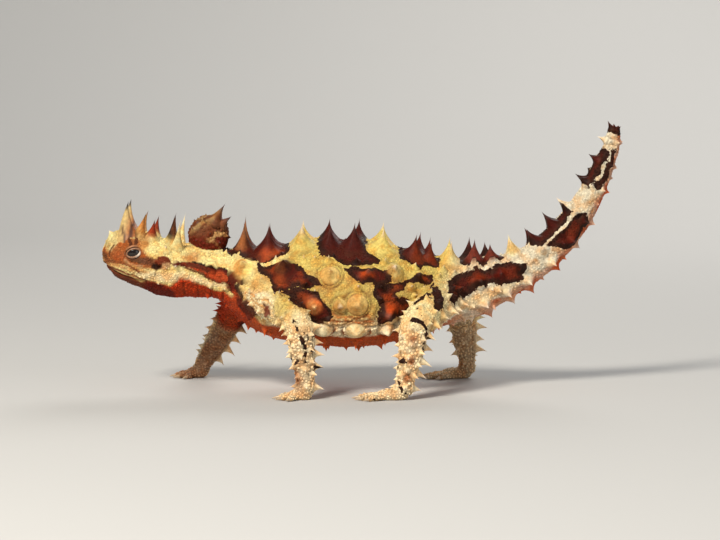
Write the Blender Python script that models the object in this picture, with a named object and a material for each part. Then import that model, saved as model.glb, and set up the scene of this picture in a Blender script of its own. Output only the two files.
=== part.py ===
"""A life-size thorny devil, standing still with its tail raised.

Each part of the body is one closed solid. The trunk, head and tail are cut from one tapering tube, and each
limb from another. Spines are cones set on the surface in rows and sunk into the part that they grow from.
Sizes are in millimetres here, and the meshes are made in metres. The head points to -X and the animal's
left side to -Y, so its right side is +Y. A girth angle is 0 on the back, 90 on the right flank, -90 on the
left flank and 180 under the belly.
"""

import math
import random

import bmesh
import bpy
import numpy as np
from mathutils import Matrix, Vector

MM = 0.001
GAP = 0.3
HALF_GAP = GAP / 2
CUTTER_REACH = 40.0
SEED = 11

# The trunk's stations, snout to tail tip: x, z of the centreline, then its reach up, down and sideways.
SPINE_LINE = [
    (-66.8, 36.8, 3.9, 3.9, 4.0),
    (-65.7, 37.1, 4.2, 4.4, 4.4),
    (-63.8, 37.4, 6.0, 5.5, 5.8),
    (-59.2, 37.1, 8.2, 6.8, 8.1),
    (-53.6, 35.9, 7.3, 7.8, 8.9),
    (-48.0, 34.6, 7.3, 8.5, 8.7),
    (-39.5, 33.2, 7.2, 7.2, 8.0),
    (-32.4, 32.0, 7.6, 6.9, 9.0),
    (-26.8, 30.3, 9.8, 9.4, 12.3),
    (-19.8, 28.0, 12.8, 12.0, 16.5),
    (-9.9, 26.2, 15.6, 13.1, 20.0),
    (0.0, 25.4, 16.2, 13.2, 21.0),
    (11.3, 25.2, 15.7, 12.4, 19.5),
    (19.8, 25.5, 13.8, 10.4, 15.5),
    (28.2, 26.3, 11.1, 8.4, 11.2),
    (36.6, 27.9, 9.0, 7.7, 8.4),
    (45.1, 30.9, 6.8, 6.0, 6.8),
    (53.6, 35.2, 5.2, 5.1, 5.7),
    (60.6, 41.1, 4.6, 4.5, 4.9),
    (66.1, 47.6, 4.1, 4.0, 4.4),
    (70.9, 55.5, 3.5, 3.4, 3.7),
    (74.2, 63.1, 2.9, 2.8, 3.1),
    (76.3, 68.7, 2.3, 2.2, 2.4),
    (77.1, 72.9, 1.5, 1.5, 1.6),
    (77.3, 73.9, 1.0, 1.0, 1.1),
]
SNOUT_ROUNDING = 3.2
TAIL_TIP_ROUNDING = 1.0
BODY_SQUARENESS = 2.3
LIMB_SQUARENESS = 2.0

# Where thin cuts part the trunk, as distances from the snout tip along the centreline.
BODY_CUTS = {
    "head": (0.0, 26.6),
    "neck": (26.6, 35.4),
    "chest": (35.4, 53.0),
    "belly": (53.0, 84.9),
    "hips": (84.9, 103.0),
    "tail_base": (103.0, 125.4),
    "tail_middle": (125.4, 147.6),
    "tail_end": (147.6, 173.0),
}
THIN_LENGTHS = ("tail_middle", "tail_end")
# The stretches of trunk that meet the limbs, the nape's knob and the horns.
LIMB_MEETS, KNOB_MEETS, HORN_MEETS = (26.0, 124.0), (20.0, 44.0), (0.0, 20.0)
HEAD_RING_STEP, BODY_RING_STEP = 1.9, 3.2
HEAD_SIDES, BODY_SIDES, TAIL_SIDES = 22, 20, 14
# Rings close to the snout's tip and to the tail's, the least share of a step between rings, and how far a
# stretch reaches past its cuts before it is trimmed.
SNOUT_RINGS, SNOUT_RINGS_END = [0.15, 0.6, 1.3], 1.9
TIP_RINGS, TIP_RINGS_START = [0.8, 0.15], 1.2
LEAST_STEP = 0.25
# Directions on the skin are read between points this far to both sides, in mm and in degrees.
NEAR, NEAR_TURN = 0.25, 2
TRUNK_OVERLAP, LIMB_OVERLAP = 1.0, 0.6

# Limb stations, root to wrist or ankle: x, y, z of the centreline and the limb's radius.
LIMBS = {
    "front_left": [
        (-24.5, -7.0, 27.5, 5.2),
        (-18.0, -18.0, 25.0, 4.4),
        (-11.4, -25.0, 20.6, 3.8),
        (-10.2, -25.4, 12.6, 3.3),
        (-9.4, -25.3, 5.2, 2.5),
        (-9.5, -25.4, 1.9, 2.4),
    ],
    "front_right": [
        (-26.5, 7.0, 27.5, 5.2),
        (-30.3, 17.5, 20.6, 4.2),
        (-33.6, 22.0, 14.6, 3.6),
        (-36.8, 24.0, 9.0, 3.1),
        (-39.8, 25.0, 4.2, 2.4),
        (-40.6, 25.2, 1.9, 2.3),
    ],
    "hind_left": [
        (29.5, -5.0, 27.0, 6.4),
        (25.6, -15.8, 24.2, 5.2),
        (20.8, -23.2, 19.6, 4.1),
        (19.5, -25.0, 12.2, 3.2),
        (18.0, -25.9, 5.0, 2.4),
        (17.6, -26.0, 1.9, 2.4),
    ],
    "hind_right": [
        (31.0, 5.0, 27.0, 6.4),
        (33.4, 14.8, 22.4, 4.9),
        (35.3, 20.8, 16.4, 3.9),
        (36.2, 22.4, 9.8, 3.1),
        (36.7, 23.0, 4.6, 2.4),
        (36.6, 23.1, 1.9, 2.4),
    ],
}
ELBOW, WRIST = 2, 4
LIMB_SIDES = 10
LIMB_RING_STEP = 2.9
LIMB_NODES = {"front": ("upper_arm", "forearm", "foot"), "hind": ("thigh", "shank", "foot")}

# A foot: the palm's half sizes, then each toe's heading from straight ahead in degrees and its length.
PALM = {"front": (3.0, 2.5, 1.9), "hind": (4.4, 2.6, 1.9)}
PALM_AHEAD = {"front": 1.2, "hind": 3.1}
PALM_HEIGHT = 1.25
TOES = {
    "front": ((-58, 3.0), (-26, 3.7), (0, 4.0), (26, 3.6), (58, 2.7)),
    "hind": ((-34, 4.6), (-14, 5.8), (4, 6.4), (20, 5.8), (46, 3.6)),
}
TOE_RADIUS, TOE_SIDES = 0.85, 6
# A toe's stations: share of its length, height of its middle, its reach up and down, and sideways.
TOE_STATIONS = [(0.0, 1.1, 1.05, 1.0), (0.55, 0.9, 0.95, TOE_RADIUS), (1.0, 0.6, 0.7, TOE_RADIUS * 0.8)]
# Toes spread over part of the palm's width, and start behind its front by part of its length.
TOE_SPREAD, TOE_AHEAD, TOE_ROOT = 0.55, 0.25, 0.45
CLAW_LENGTH, CLAW_RADIUS, CLAW_SIDES = 1.9, 0.45, 5
CLAW_DROOP, CLAW_HEIGHT, CLAW_OVERLAP, CLAW_SINK = 0.11, 0.62, 0.3, 0.4

# Spine rows on both sides of the trunk: place along the body, girth angle, height and radius at the root.
BACK_ROW = [
    (38.1, 21, 9.7, 3.2),
    (44.3, 21, 8.3, 4.0),
    (55.0, 21, 7.5, 4.3),
    (64.0, 21, 6.9, 4.1),
    (71.2, 21, 7.2, 4.1),
    (80.3, 21, 7.1, 4.2),
    (89.8, 21, 7.2, 3.2),
    (94.2, 21, 5.8, 2.3),
    (100.7, 21, 6.9, 2.9),
    (108.3, 22, 6.4, 2.7),
    (114.1, 23, 5.2, 2.4),
]
# How much further back some spines of the far side stand than those of the near side, by place.
FAR_SHIFTS = {71.2: 1.6, 89.8: 1.3, 108.3: -1.3, 114.1: -1.3}
SHOULDER_ROW = [
    (39.4, 65, 4.0, 3.4),
    (51.0, 58, 4.4, 3.2),
    (65.0, 63, 3.0, 2.9),
    (75.8, 61, 3.2, 2.5),
    (83.5, 55, 3.4, 2.5),
    (90.5, 61, 3.0, 2.2),
    (97.5, 66, 3.2, 2.0),
]
FLANK_ROW = [
    (61.2, 92, 3.4, 2.5),
    (68.4, 90, 2.4, 2.0),
    (72.9, 89, 2.6, 3.0),
    (81.6, 100, 2.4, 2.9),
    (90.5, 83, 3.0, 2.1),
]
LOWER_ROW = [
    (64.0, 121, 1.9, 2.6),
    (72.7, 120, 1.9, 2.9),
    (81.2, 121, 2.6, 2.2),
]

# Small spines fill in between the rows: girth angle, first and last place, step, height and radius.
SMALL_ROWS = [
    (46, 48.0, 116.0, 8.3, 2.3, 1.1),
    (74, 58.0, 104.0, 7.4, 2.2, 1.1),
    (106, 58.0, 114.0, 7.7, 2.3, 1.1),
    (142, 50.0, 110.0, 7.4, 2.4, 1.0),
    (164, 46.0, 104.0, 9.4, 1.6, 0.9),
]
SMALL_JITTER = 0.9

# Tail whorls: the place of each, then for each spine its girth angle and its share of the whorl's height.
TAIL_WHORLS = [120.6, 128.5, 136.2, 142.9, 152.4, 159.4, 165.8, 169.8]
TAIL_WHORL_SHAPE = [(26, 1.0), (78, 0.62), (122, 0.56), (163, 0.42)]
TAIL_HEIGHT_START, TAIL_HEIGHT_END = 5.8, 2.3
TAIL_RADIUS_START, TAIL_RADIUS_END = 2.3, 0.9
LEAST_WHORL_RADIUS = 0.6
LOWER_TAIL_WHORLS = [108.0, 114.6]

# Head and neck spines on both sides: place, girth angle, height, radius.
HEAD_SPINES = [
    (3.4, 27, 2.2, 1.8),
    (5.0, 62, 1.0, 0.8),
    (9.4, 30, 7.4, 1.6),
    (12.8, 24, 6.1, 1.85),
    (18.2, 21, 8.2, 1.8),
    (20.6, 36, 9.6, 1.6),
    (17.0, 50, 2.0, 1.3),
    (21.2, 84, 2.2, 1.2),
    (13.0, 116, 1.1, 0.8),
    (17.6, 118, 1.3, 0.8),
    (22.2, 116, 1.6, 0.9),
]
NECK_SPINES = [
    (30.8, 74, 3.0, 1.5),
    (31.4, 112, 1.8, 1.0),
    (31.0, 146, 1.4, 0.9),
]
HORN_PLACE, HORN_ANGLE = 6.4, 28
HORN_HEIGHT, HORN_RADIUS = 9.3, 2.5
HORN_SIDES, HORN_SINK, HORN_WAIST = 9, 2.0, 0.6
# A horn points part of the way along the skin's outward direction, and for the rest this way.
HORN_OUTWARD, HORN_UPWARD = 0.55, (-0.1, 0.0, 0.75)

# Limb spines: their turns about the limb, the step along it, height and radius, and the larger rear ones.
LIMB_SPINE_TURNS = (-95, -50, 0, 50, 95)
LIMB_SPINE_STEP = 3.5
LIMB_SPINE_HEIGHT, LIMB_SPINE_RADIUS = 1.9, 0.85
LIMB_SPINE_SINK = 0.6
REAR_SPINE_HEIGHT, REAR_SPINE_RADIUS = 3.2, 1.2
# Where limb spines begin and end from a cut, and the spread of their turns, heights and steps.
LIMB_SPINE_START, LIMB_SPINE_END = 1.6, 1.2
LIMB_TURN_VARIATION, LIMB_HEIGHTS, LIMB_STEPS = 8, (0.75, 1.15), (0.92, 1.08)
TRUNK_CLEARANCE, FLOOR_CLEARANCE = 1.0, 1.8

# The knob on the nape, carried like a second head.
NAPE_CENTRE = (-37.0, 0.0, 43.3)
NAPE_RADIUS, NAPE_SIDES, NAPE_RINGS = 5.6, 14, 9
NAPE_SPINE_SINK = 0.1
NAPE_SPINES = [
    ((0.38, 0.42, 0.83), 5.1, 1.7),
    ((0.72, 0.46, 0.62), 3.3, 1.4),
    ((-0.50, 0.60, 0.64), 1.2, 0.9),
    ((0.10, 0.98, 0.16), 1.2, 0.9),
    ((-0.90, 0.40, 0.10), 1.0, 0.8),
]

# The face.
EYE_CENTRE = (-57.6, 6.8, 39.0)
EYE_RADIUS = 2.2
EYE_SIDES, EYE_RINGS = 12, 8
EAR_SIDES, EAR_RINGS = 8, 6
NOSTRIL_SIDES, NOSTRIL_RINGS = 6, 4
PALM_SIDES, PALM_RINGS = 12, 7
# How often the height of the lips is halved in on.
LIP_HALVINGS = 24
LID_HALF_LENGTH, LID_HALF_HEIGHT, LID_THICKNESS = 2.2, 1.65, 0.5
LID_LIFT, LID_LEAST_REACH, LID_STATIONS, LID_SIDES = 0.25, 0.22, 12, 5
BROW_CLEARANCE = 0.6
EAR_PLACE, EAR_ANGLE, EAR_LIFT, EAR_RADII = 17.6, 83, 0.5, (1.5, 1.5, 1.725)
NOSTRIL_PLACE, NOSTRIL_ANGLE, NOSTRIL_RADII = 2.5, 56, (0.54, 0.72, 0.405)
# The mouth's slot: the lips' heights at both ends, where they end and how they curve, and the slot's rings.
MOUTH_FRONT_HEIGHT, MOUTH_BACK_HEIGHT = 35.2, 31.0
MOUTH_END, MOUTH_CURVE = 14.0, 1.5
MOUTH_PLACES = [0.7, 1.1, 1.8, 3.0, 5.0, 7.6, 10.6, MOUTH_END]
MOUTH_DEPTH, MOUTH_OPENING, MOUTH_BEYOND = 0.8, 0.5, 1.2
MOUTH_FLARE, MOUTH_NARROWING, MOUTH_SHALLOWING = 1.8, 0.7, 0.5

# A spine's sides by its radius at the root, and the hollow of its sides. The smallest have straight sides.
BIG_SPINE, MIDDLE_SPINE = 2.6, 1.25
SPINE_SIDES = (6, 5, 4)
SPINE_SINK = 0.9
SPINE_WAIST_AT, SPINE_WAIST = 0.34, 0.5
# How far a spine's tip leans towards the rear, by its height, and where spines stand upright on the body.
SPINE_LEAN, LIMB_SPINE_LEAN, HORN_LEAN, NAPE_LEAN = 0.06, 0.22, 0.22, 0.13
UPRIGHT_START, UPRIGHT_END, UPRIGHT_SHARE = 12.0, 104.0, 0.35
# How far spines keep from cuts and limbs, by their radius, and how much their heights and places vary.
CUT_CLEARANCE, LIMB_CLEARANCE, LEAST_CLEARANCE = 0.6, 0.6, 0.5
HEIGHT_VARIATION, PLACE_VARIATION = 0.09, 0.3

SHARP_ANGLE = math.radians(35)
ROUGHNESS, EYE_ROUGHNESS = 0.65, 0.15
COLOURS = {
    "skin_back": (0.62, 0.44, 0.17),
    "skin_dark": (0.16, 0.035, 0.018),
    "skin_pale": (0.66, 0.54, 0.36),
    "horn": (0.70, 0.55, 0.26),
    "eye": (0.03, 0.015, 0.01),
}


class Tube:
    """A bent, tapering body: a centreline through stations, and how far the skin lies from it."""

    def __init__(self, stations, lateral, squareness, round_start=0.0, round_end=0.0):
        self.rows = np.array(stations, float)
        steps = np.linalg.norm(np.diff(self.rows[:, :3], axis=0), axis=1)
        self.knots = np.concatenate([[0.0], np.cumsum(steps)])
        self.slopes = np.gradient(self.rows, self.knots, axis=0)
        self.lateral = np.array(lateral, float)
        self.power = 2.0 / squareness
        self.round_start, self.round_end = round_start, round_end
        self.length = float(self.knots[-1])

    def read(self, place):
        """The six station values at a distance along the centreline, by cubic interpolation."""
        place = min(max(place, 0.0), self.length)
        i = min(int(np.searchsorted(self.knots, place, "right")) - 1, len(self.knots) - 2)
        width = self.knots[i + 1] - self.knots[i]
        t = (place - self.knots[i]) / width
        start, end = 2 * t**3 - 3 * t**2 + 1, 3 * t**2 - 2 * t**3
        leave, arrive = t**3 - 2 * t**2 + t, t**3 - t**2
        return (
            start * self.rows[i]
            + end * self.rows[i + 1]
            + width * (leave * self.slopes[i] + arrive * self.slopes[i + 1])
        )

    def rounding(self, place):
        """How much of its full size the tube has near a rounded end."""
        share = 1.0
        if self.round_start and place < self.round_start:
            share = math.sqrt(max(0.0, 1 - (1 - place / self.round_start) ** 2))
        left = self.length - place
        if self.round_end and left < self.round_end:
            share = min(share, math.sqrt(max(0.0, 1 - (1 - left / self.round_end) ** 2)))
        return share

    def frame(self, place):
        """Centre, tangent, lateral and up directions."""
        place = min(max(place, 0.0), self.length)
        ahead = self.read(place + NEAR)[:3]
        behind = self.read(place - NEAR)[:3]
        tangent = (ahead - behind) / np.linalg.norm(ahead - behind)
        across = self.lateral - tangent * (self.lateral @ tangent)
        across /= np.linalg.norm(across)
        return self.read(place)[:3], tangent, across, np.cross(tangent, across)

    def point(self, place, degrees, grow=0.0):
        """A point on the skin, or a little outside it by grow."""
        centre, _, across, up = self.frame(place)
        above, below, wide = self.read(place)[3:] * self.rounding(place) + grow
        sine, cosine = math.sin(math.radians(degrees)), math.cos(math.radians(degrees))
        side = math.copysign(abs(sine) ** self.power, sine) * wide
        rise = math.copysign(abs(cosine) ** self.power, cosine) * (above if cosine > 0 else below)
        return centre + across * side + up * rise

    def normal(self, place, degrees):
        """The outward direction of the skin."""
        along = self.point(place + NEAR, degrees) - self.point(place - NEAR, degrees)
        around = self.point(place, degrees + NEAR_TURN) - self.point(place, degrees - NEAR_TURN)
        out = np.cross(along, around)
        return out / np.linalg.norm(out)

    def ring(self, place, sides, grow=0.0):
        return [self.point(place, 360 * k / sides, grow) for k in range(sides)]


def body_tube():
    stations = [(x, 0.0, z, up, down, wide) for x, z, up, down, wide in SPINE_LINE]
    return Tube(stations, (0, 1, 0), BODY_SQUARENESS, SNOUT_ROUNDING, TAIL_TIP_ROUNDING)


def limb_tube(name):
    stations = [(x, y, z, r, r, r) for x, y, z, r in LIMBS[name]]
    return Tube(stations, (1, 0, 0), LIMB_SQUARENESS)


BODY = body_tube()
LIMB = {name: limb_tube(name) for name in LIMBS}


def solid(name, points, faces):
    """A closed mesh object in metres, with its faces pointing out."""
    mesh = bpy.data.meshes.new(name)
    mesh.from_pydata([tuple(float(c) * MM for c in p) for p in points], [], faces)
    shape = bmesh.new()
    shape.from_mesh(mesh)
    bmesh.ops.recalc_face_normals(shape, faces=shape.faces)
    bmesh.ops.triangulate(shape, faces=shape.faces)
    shape.to_mesh(mesh)
    shape.free()
    obj = bpy.data.objects.new(name, mesh)
    bpy.context.scene.collection.objects.link(obj)
    return obj


def loft(name, rings, start_point=None, end_point=None):
    """A closed skin over rings of equal count, with flat ends or with a point at an end."""
    sides = len(rings[0])
    points = [p for ring in rings for p in ring]
    faces = []
    for i in range(len(rings) - 1):
        for j in range(sides):
            here, beside = i * sides + j, i * sides + (j + 1) % sides
            faces.append((here, here + sides, beside + sides, beside))
    last = (len(rings) - 1) * sides
    if start_point is None:
        faces.append(tuple(range(sides)))
    else:
        points.append(start_point)
        faces += [(len(points) - 1, j, (j + 1) % sides) for j in range(sides)]
    if end_point is None:
        faces.append(tuple(last + j for j in reversed(range(sides))))
    else:
        points.append(end_point)
        faces += [(len(points) - 1, last + (j + 1) % sides, last + j) for j in range(sides)]
    return solid(name, points, faces)


def tube_length(name, tube, start, end, sides, step, grow=0.0):
    """A stretch of a tube. Its rings lie at whole steps, so that neighbours have the same facets."""
    round_start = start <= 0.0 and tube.round_start > 0
    round_end = end >= tube.length and tube.round_end > 0
    places = [k * step for k in range(1, int(tube.length / step) + 1) if start < k * step < end]
    if round_start:
        places = SNOUT_RINGS + [p for p in places if p > SNOUT_RINGS_END]
    else:
        places = [start] + [p for p in places if p > start + LEAST_STEP * step]
    if round_end:
        places = [p for p in places if p < tube.length - TIP_RINGS_START]
        places += [tube.length - left for left in TIP_RINGS]
    else:
        places = [p for p in places if p < end - LEAST_STEP * step] + [end]
    rings = [tube.ring(p, sides, grow) for p in places]
    return loft(
        name,
        rings,
        tube.frame(0.0)[0] if round_start else None,
        tube.frame(tube.length)[0] if round_end else None,
    )


def basis(direction):
    """Two directions square to this one."""
    direction = Vector(direction).normalized()
    first = direction.orthogonal().normalized()
    return direction, first, direction.cross(first)


def cone(name, root, direction, lean, height, radius, sides=None, sink=SPINE_SINK, waist=SPINE_WAIST):
    """A spine: a hollow-sided cone from a sunk root to a sharp tip that leans a little."""
    direction, first, second = basis(direction)
    lean, root = Vector(lean), Vector(root)
    size = 0 if radius >= BIG_SPINE else 1 if radius >= MIDDLE_SPINE else 2
    sides = sides or SPINE_SIDES[size]
    sections = [(-sink, 1.0)]
    if size < 2:
        sections.append((SPINE_WAIST_AT * height, waist))
    rings = []
    for rise, share in sections:
        centre = root + direction * rise + lean * (max(rise, 0.0) ** 2 / height)
        ring = []
        for k in range(sides):
            turn = 2 * math.pi * k / sides
            ring.append(centre + (first * math.cos(turn) + second * math.sin(turn)) * radius * share)
        rings.append(ring)
    tip = root + direction * height + lean * height
    return loft(name, rings, None, tip)


def ball(name, centre, radii, across=10, rings=6):
    """A ball stretched along the axes."""
    rows = []
    for i in range(1, rings):
        tilt = math.pi * i / rings
        rows.append(
            [
                (
                    centre[0] + radii[0] * math.sin(tilt) * math.cos(2 * math.pi * k / across),
                    centre[1] + radii[1] * math.sin(tilt) * math.sin(2 * math.pi * k / across),
                    centre[2] + radii[2] * math.cos(tilt),
                )
                for k in range(across)
            ]
        )
    top = (centre[0], centre[1], centre[2] + radii[2])
    bottom = (centre[0], centre[1], centre[2] - radii[2])
    return loft(name, rows, top, bottom)


def block(name, centre, axes, halves):
    """A box with its own axes."""
    centre = Vector(centre)
    corners = [
        centre + sum((Vector(a) * h * s for a, h, s in zip(axes, halves, signs)), Vector())
        for signs in [(x, y, z) for x in (-1, 1) for y in (-1, 1) for z in (-1, 1)]
    ]
    faces = [(0, 1, 3, 2), (4, 6, 7, 5), (0, 4, 5, 1), (2, 3, 7, 6), (0, 2, 6, 4), (1, 5, 7, 3)]
    return solid(name, corners, faces)


def end_cutter(tube, place, beyond):
    """A box that starts at a cut square to the centreline. beyond is 1 for what lies past it, -1 for before."""
    centre, tangent, across, up = tube.frame(place)
    middle = centre + tangent * beyond * CUTTER_REACH
    return block("cutter", middle, (tangent, across, up), (CUTTER_REACH,) * 3)


def boolean(base, operation, others):
    """Joins closed shapes to the base, or takes them away, and removes them."""
    if not others:
        return
    group = bpy.data.collections.new("operands")
    bpy.context.scene.collection.children.link(group)
    for other in others:
        bpy.context.scene.collection.objects.unlink(other)
        group.objects.link(other)
    modifier = base.modifiers.new("boolean", "BOOLEAN")
    modifier.operation = operation
    modifier.operand_type = "COLLECTION"
    modifier.collection = group
    modifier.solver = "MANIFOLD"
    graph = bpy.context.evaluated_depsgraph_get()
    made = bpy.data.meshes.new_from_object(base.evaluated_get(graph))
    base.modifiers.clear()
    base.data = made
    for other in others:
        bpy.data.objects.remove(other)
    bpy.data.collections.remove(group)


def keep_largest(obj):
    """Drops every loose surface but the one that holds the most."""
    shape = bmesh.new()
    shape.from_mesh(obj.data)
    bmesh.ops.triangulate(shape, faces=shape.faces)
    left, islands = set(shape.faces), []
    while left:
        island, edge = [], [left.pop()]
        while edge:
            face = edge.pop()
            island.append(face)
            for side in face.edges:
                for other in side.link_faces:
                    if other in left:
                        left.remove(other)
                        edge.append(other)
        islands.append(island)

    def volume(island):
        total = 0.0
        for face in island:
            a, b, c = (v.co for v in face.verts)
            total += a.dot(b.cross(c)) / 6
        return abs(total)

    islands.sort(key=volume, reverse=True)
    scraps = [face for island in islands[1:] for face in island]
    bmesh.ops.delete(shape, geom=scraps, context="FACES")
    shape.to_mesh(obj.data)
    shape.free()


def fuse(name, pieces, cutters, slot):
    """One closed body from its pieces, with the cutters taken away."""
    body = pieces[0]
    boolean(body, "UNION", pieces[1:])
    boolean(body, "DIFFERENCE", cutters)
    keep_largest(body)
    body.name = name
    body.data.name = name
    body.data.shade_smooth()
    body.data.set_sharp_from_angle(angle=SHARP_ANGLE)
    body.data.materials.clear()
    body.data.materials.append(bpy.data.materials[slot])
    return body


def make_materials():
    for name, colour in COLOURS.items():
        material = bpy.data.materials.new(name)
        material.use_nodes = True
        shader = material.node_tree.nodes["Principled BSDF"]
        shader.inputs["Base Color"].default_value = (*colour, 1.0)
        shader.inputs["Roughness"].default_value = EYE_ROUGHNESS if name == "eye" else ROUGHNESS


def distance_to_limbs(point):
    """How far a point lies outside the nearest limb's skin."""
    nearest = math.inf
    for tube in LIMB.values():
        for place in np.arange(0.0, tube.length, 1.0):
            row = tube.read(place)
            nearest = min(nearest, float(np.linalg.norm(row[:3] - point)) - row[3])
    return nearest


def distance_to_body(point):
    """About how far a point lies outside the trunk."""
    places = np.arange(LIMB_MEETS[0], LIMB_MEETS[1] + 1, 1.0)
    centres = np.array([BODY.read(p)[:3] for p in places])
    place = places[np.argmin(np.abs(centres[:, 0] - point[0]))]
    row = BODY.read(place)
    rise = point[2] - row[2]
    tall = row[3] if rise > 0 else row[4]
    spread = math.hypot(rise / tall, point[1] / row[5])
    return (spread - 1) * min(tall, row[5])


def body_spines():
    """Every spine of the trunk and tail: place, girth angle, height, radius."""
    draw = random.Random(SEED)
    found = []

    def both_sides(place, angle, height, radius):
        for side in (-1, 1):
            vary = 1 + draw.uniform(-HEIGHT_VARIATION, HEIGHT_VARIATION)
            shift = draw.uniform(-PLACE_VARIATION, PLACE_VARIATION)
            shift += FAR_SHIFTS.get(place, 0.0) if side > 0 else 0.0
            found.append((place + shift, side * angle, height * vary, radius))

    for place, angle, height, radius in BACK_ROW + SHOULDER_ROW + FLANK_ROW + LOWER_ROW:
        both_sides(place, angle, height, radius)
    for angle, first, last, step, height, radius in SMALL_ROWS:
        for place in np.arange(first, last, step):
            both_sides(place + draw.uniform(-1, 1) * SMALL_JITTER, angle, height, radius)
    whorls = [(p, TAIL_WHORL_SHAPE) for p in TAIL_WHORLS]
    whorls += [(p, TAIL_WHORL_SHAPE[1:]) for p in LOWER_TAIL_WHORLS]
    for place, shape in whorls:
        down = max(0.0, (place - TAIL_WHORLS[0]) / (TAIL_WHORLS[-1] - TAIL_WHORLS[0]))
        height = TAIL_HEIGHT_START + (TAIL_HEIGHT_END - TAIL_HEIGHT_START) * down
        radius = TAIL_RADIUS_START + (TAIL_RADIUS_END - TAIL_RADIUS_START) * down
        for angle, share in shape:
            slender = LEAST_WHORL_RADIUS + (1 - LEAST_WHORL_RADIUS) * share
            both_sides(place, angle, height * share, radius * slender)
    for place, angle, height, radius in HEAD_SPINES + NECK_SPINES:
        both_sides(place, angle, height, radius)
    return found


def spine_direction(place, angle):
    """Square to the skin, but nearly upright on the back, whichever way it slopes."""
    out = BODY.normal(place, angle)
    if UPRIGHT_START < place < UPRIGHT_END:
        out = out * (UPRIGHT_SHARE, 1, 1)
    return out / np.linalg.norm(out)


def spines_between(start, end):
    """Cones for one length of the trunk, kept clear of its cuts and of the limbs."""
    cones = []
    for place, angle, height, radius in body_spines():
        if not start <= place < end:
            continue
        margin = CUT_CLEARANCE * radius
        if start > 0:
            place = max(place, start + margin)
        place = min(place, min(end, BODY.length) - margin)
        root, out = BODY.point(place, angle), spine_direction(place, angle)
        tip = root + out * height
        clear = min(distance_to_limbs(root), distance_to_limbs(tip), distance_to_limbs((root + tip) / 2))
        if clear < LEAST_CLEARANCE + LIMB_CLEARANCE * radius:
            continue
        lean = BODY.frame(place)[1] * SPINE_LEAN
        cones.append(cone("spine", root, out, lean, height, radius))
    return cones


def trunk_length(name):
    """One length of head, neck, trunk or tail with its spines."""
    start, end = BODY_CUTS[name]
    sides = HEAD_SIDES if name == "head" else TAIL_SIDES if name in THIN_LENGTHS else BODY_SIDES
    step = HEAD_RING_STEP if name == "head" else BODY_RING_STEP
    first = start - TRUNK_OVERLAP if start > 0 else 0.0
    core = tube_length(name, BODY, first, min(end + TRUNK_OVERLAP, BODY.length), sides, step)
    cutters = []
    if start > 0:
        cutters.append(end_cutter(BODY, start + HALF_GAP, -1))
    if end < BODY.length:
        cutters.append(end_cutter(BODY, end - HALF_GAP, 1))
    return [core] + spines_between(start, end), cutters


def ring_tube(name, path, radius, sides):
    """A closed ring swept along a closed path round a centre."""
    count = len(path)
    middle = sum((Vector(p) for p in path), Vector()) / count
    points, faces = [], []
    for i in range(count):
        here = Vector(path[i])
        tangent = (Vector(path[(i + 1) % count]) - Vector(path[i - 1])).normalized()
        out = here - middle
        out = (out - tangent * out.dot(tangent)).normalized()
        second = tangent.cross(out)
        for k in range(sides):
            turn = 2 * math.pi * k / sides
            points.append(here + (out * math.cos(turn) + second * math.sin(turn)) * radius)
    for i in range(count):
        for k in range(sides):
            a, b = i * sides + k, i * sides + (k + 1) % sides
            c, d = (i + 1) % count * sides + (k + 1) % sides, (i + 1) % count * sides + k
            faces.append((a, b, c, d))
    return solid(name, points, faces)


def eyelids(side):
    """The swollen rim of both lids, round the eye's opening."""
    centre = Vector((EYE_CENTRE[0], side * EYE_CENTRE[1], EYE_CENTRE[2]))
    reach = EYE_RADIUS + GAP + LID_LIFT
    path = []
    for k in range(LID_STATIONS):
        turn = 2 * math.pi * k / LID_STATIONS
        along, rise = LID_HALF_LENGTH * math.cos(turn), LID_HALF_HEIGHT * math.sin(turn)
        out = math.sqrt(max(LID_LEAST_REACH**2, reach**2 - along**2 - rise**2))
        path.append(centre + Vector((along, side * out, rise)))
    return ring_tube("lids", path, LID_THICKNESS, LID_SIDES)


def mouth_cutter():
    """A thin slot that follows the lips from one corner of the mouth round the snout to the other."""

    def lip_angle(place):
        curve = (1 - place / MOUTH_END) ** MOUTH_CURVE
        height = MOUTH_BACK_HEIGHT + (MOUTH_FRONT_HEIGHT - MOUTH_BACK_HEIGHT) * curve
        low, high = 90.0, 180.0
        for _ in range(LIP_HALVINGS):
            middle = (low + high) / 2
            if BODY.point(place, middle)[2] > height:
                low = middle
            else:
                high = middle
        return (low + high) / 2

    stops = [(p, -lip_angle(p), p / MOUTH_END) for p in reversed(MOUTH_PLACES)]
    stops += [(p, lip_angle(p), p / MOUTH_END) for p in MOUTH_PLACES]
    rings = []
    for place, angle, share in stops:
        skin, out = BODY.point(place, angle), BODY.normal(place, angle)
        out[2] = 0.0
        out /= np.linalg.norm(out)
        inner = skin - out * MOUTH_DEPTH * (1 - MOUTH_SHALLOWING * share**2)
        outer = skin + out * MOUTH_BEYOND
        rise = np.array((0, 0, MOUTH_OPENING / 2 * (1 - MOUTH_NARROWING * share**2)))
        rings.append([inner - rise, outer - rise * MOUTH_FLARE, outer + rise * MOUTH_FLARE, inner + rise])
    return loft("mouth", rings)


def eye_ball(name, side, radius):
    centre = (EYE_CENTRE[0], side * EYE_CENTRE[1], EYE_CENTRE[2])
    return ball(name, centre, (radius,) * 3, EYE_SIDES, EYE_RINGS)


def horn_shape(name, side):
    angle = side * HORN_ANGLE
    root, out = BODY.point(HORN_PLACE, angle), BODY.normal(HORN_PLACE, angle)
    up = out * HORN_OUTWARD + np.array(HORN_UPWARD)
    return cone(name, root, up, (HORN_LEAN, 0, 0), HORN_HEIGHT, HORN_RADIUS, HORN_SIDES, HORN_SINK, HORN_WAIST)


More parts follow.
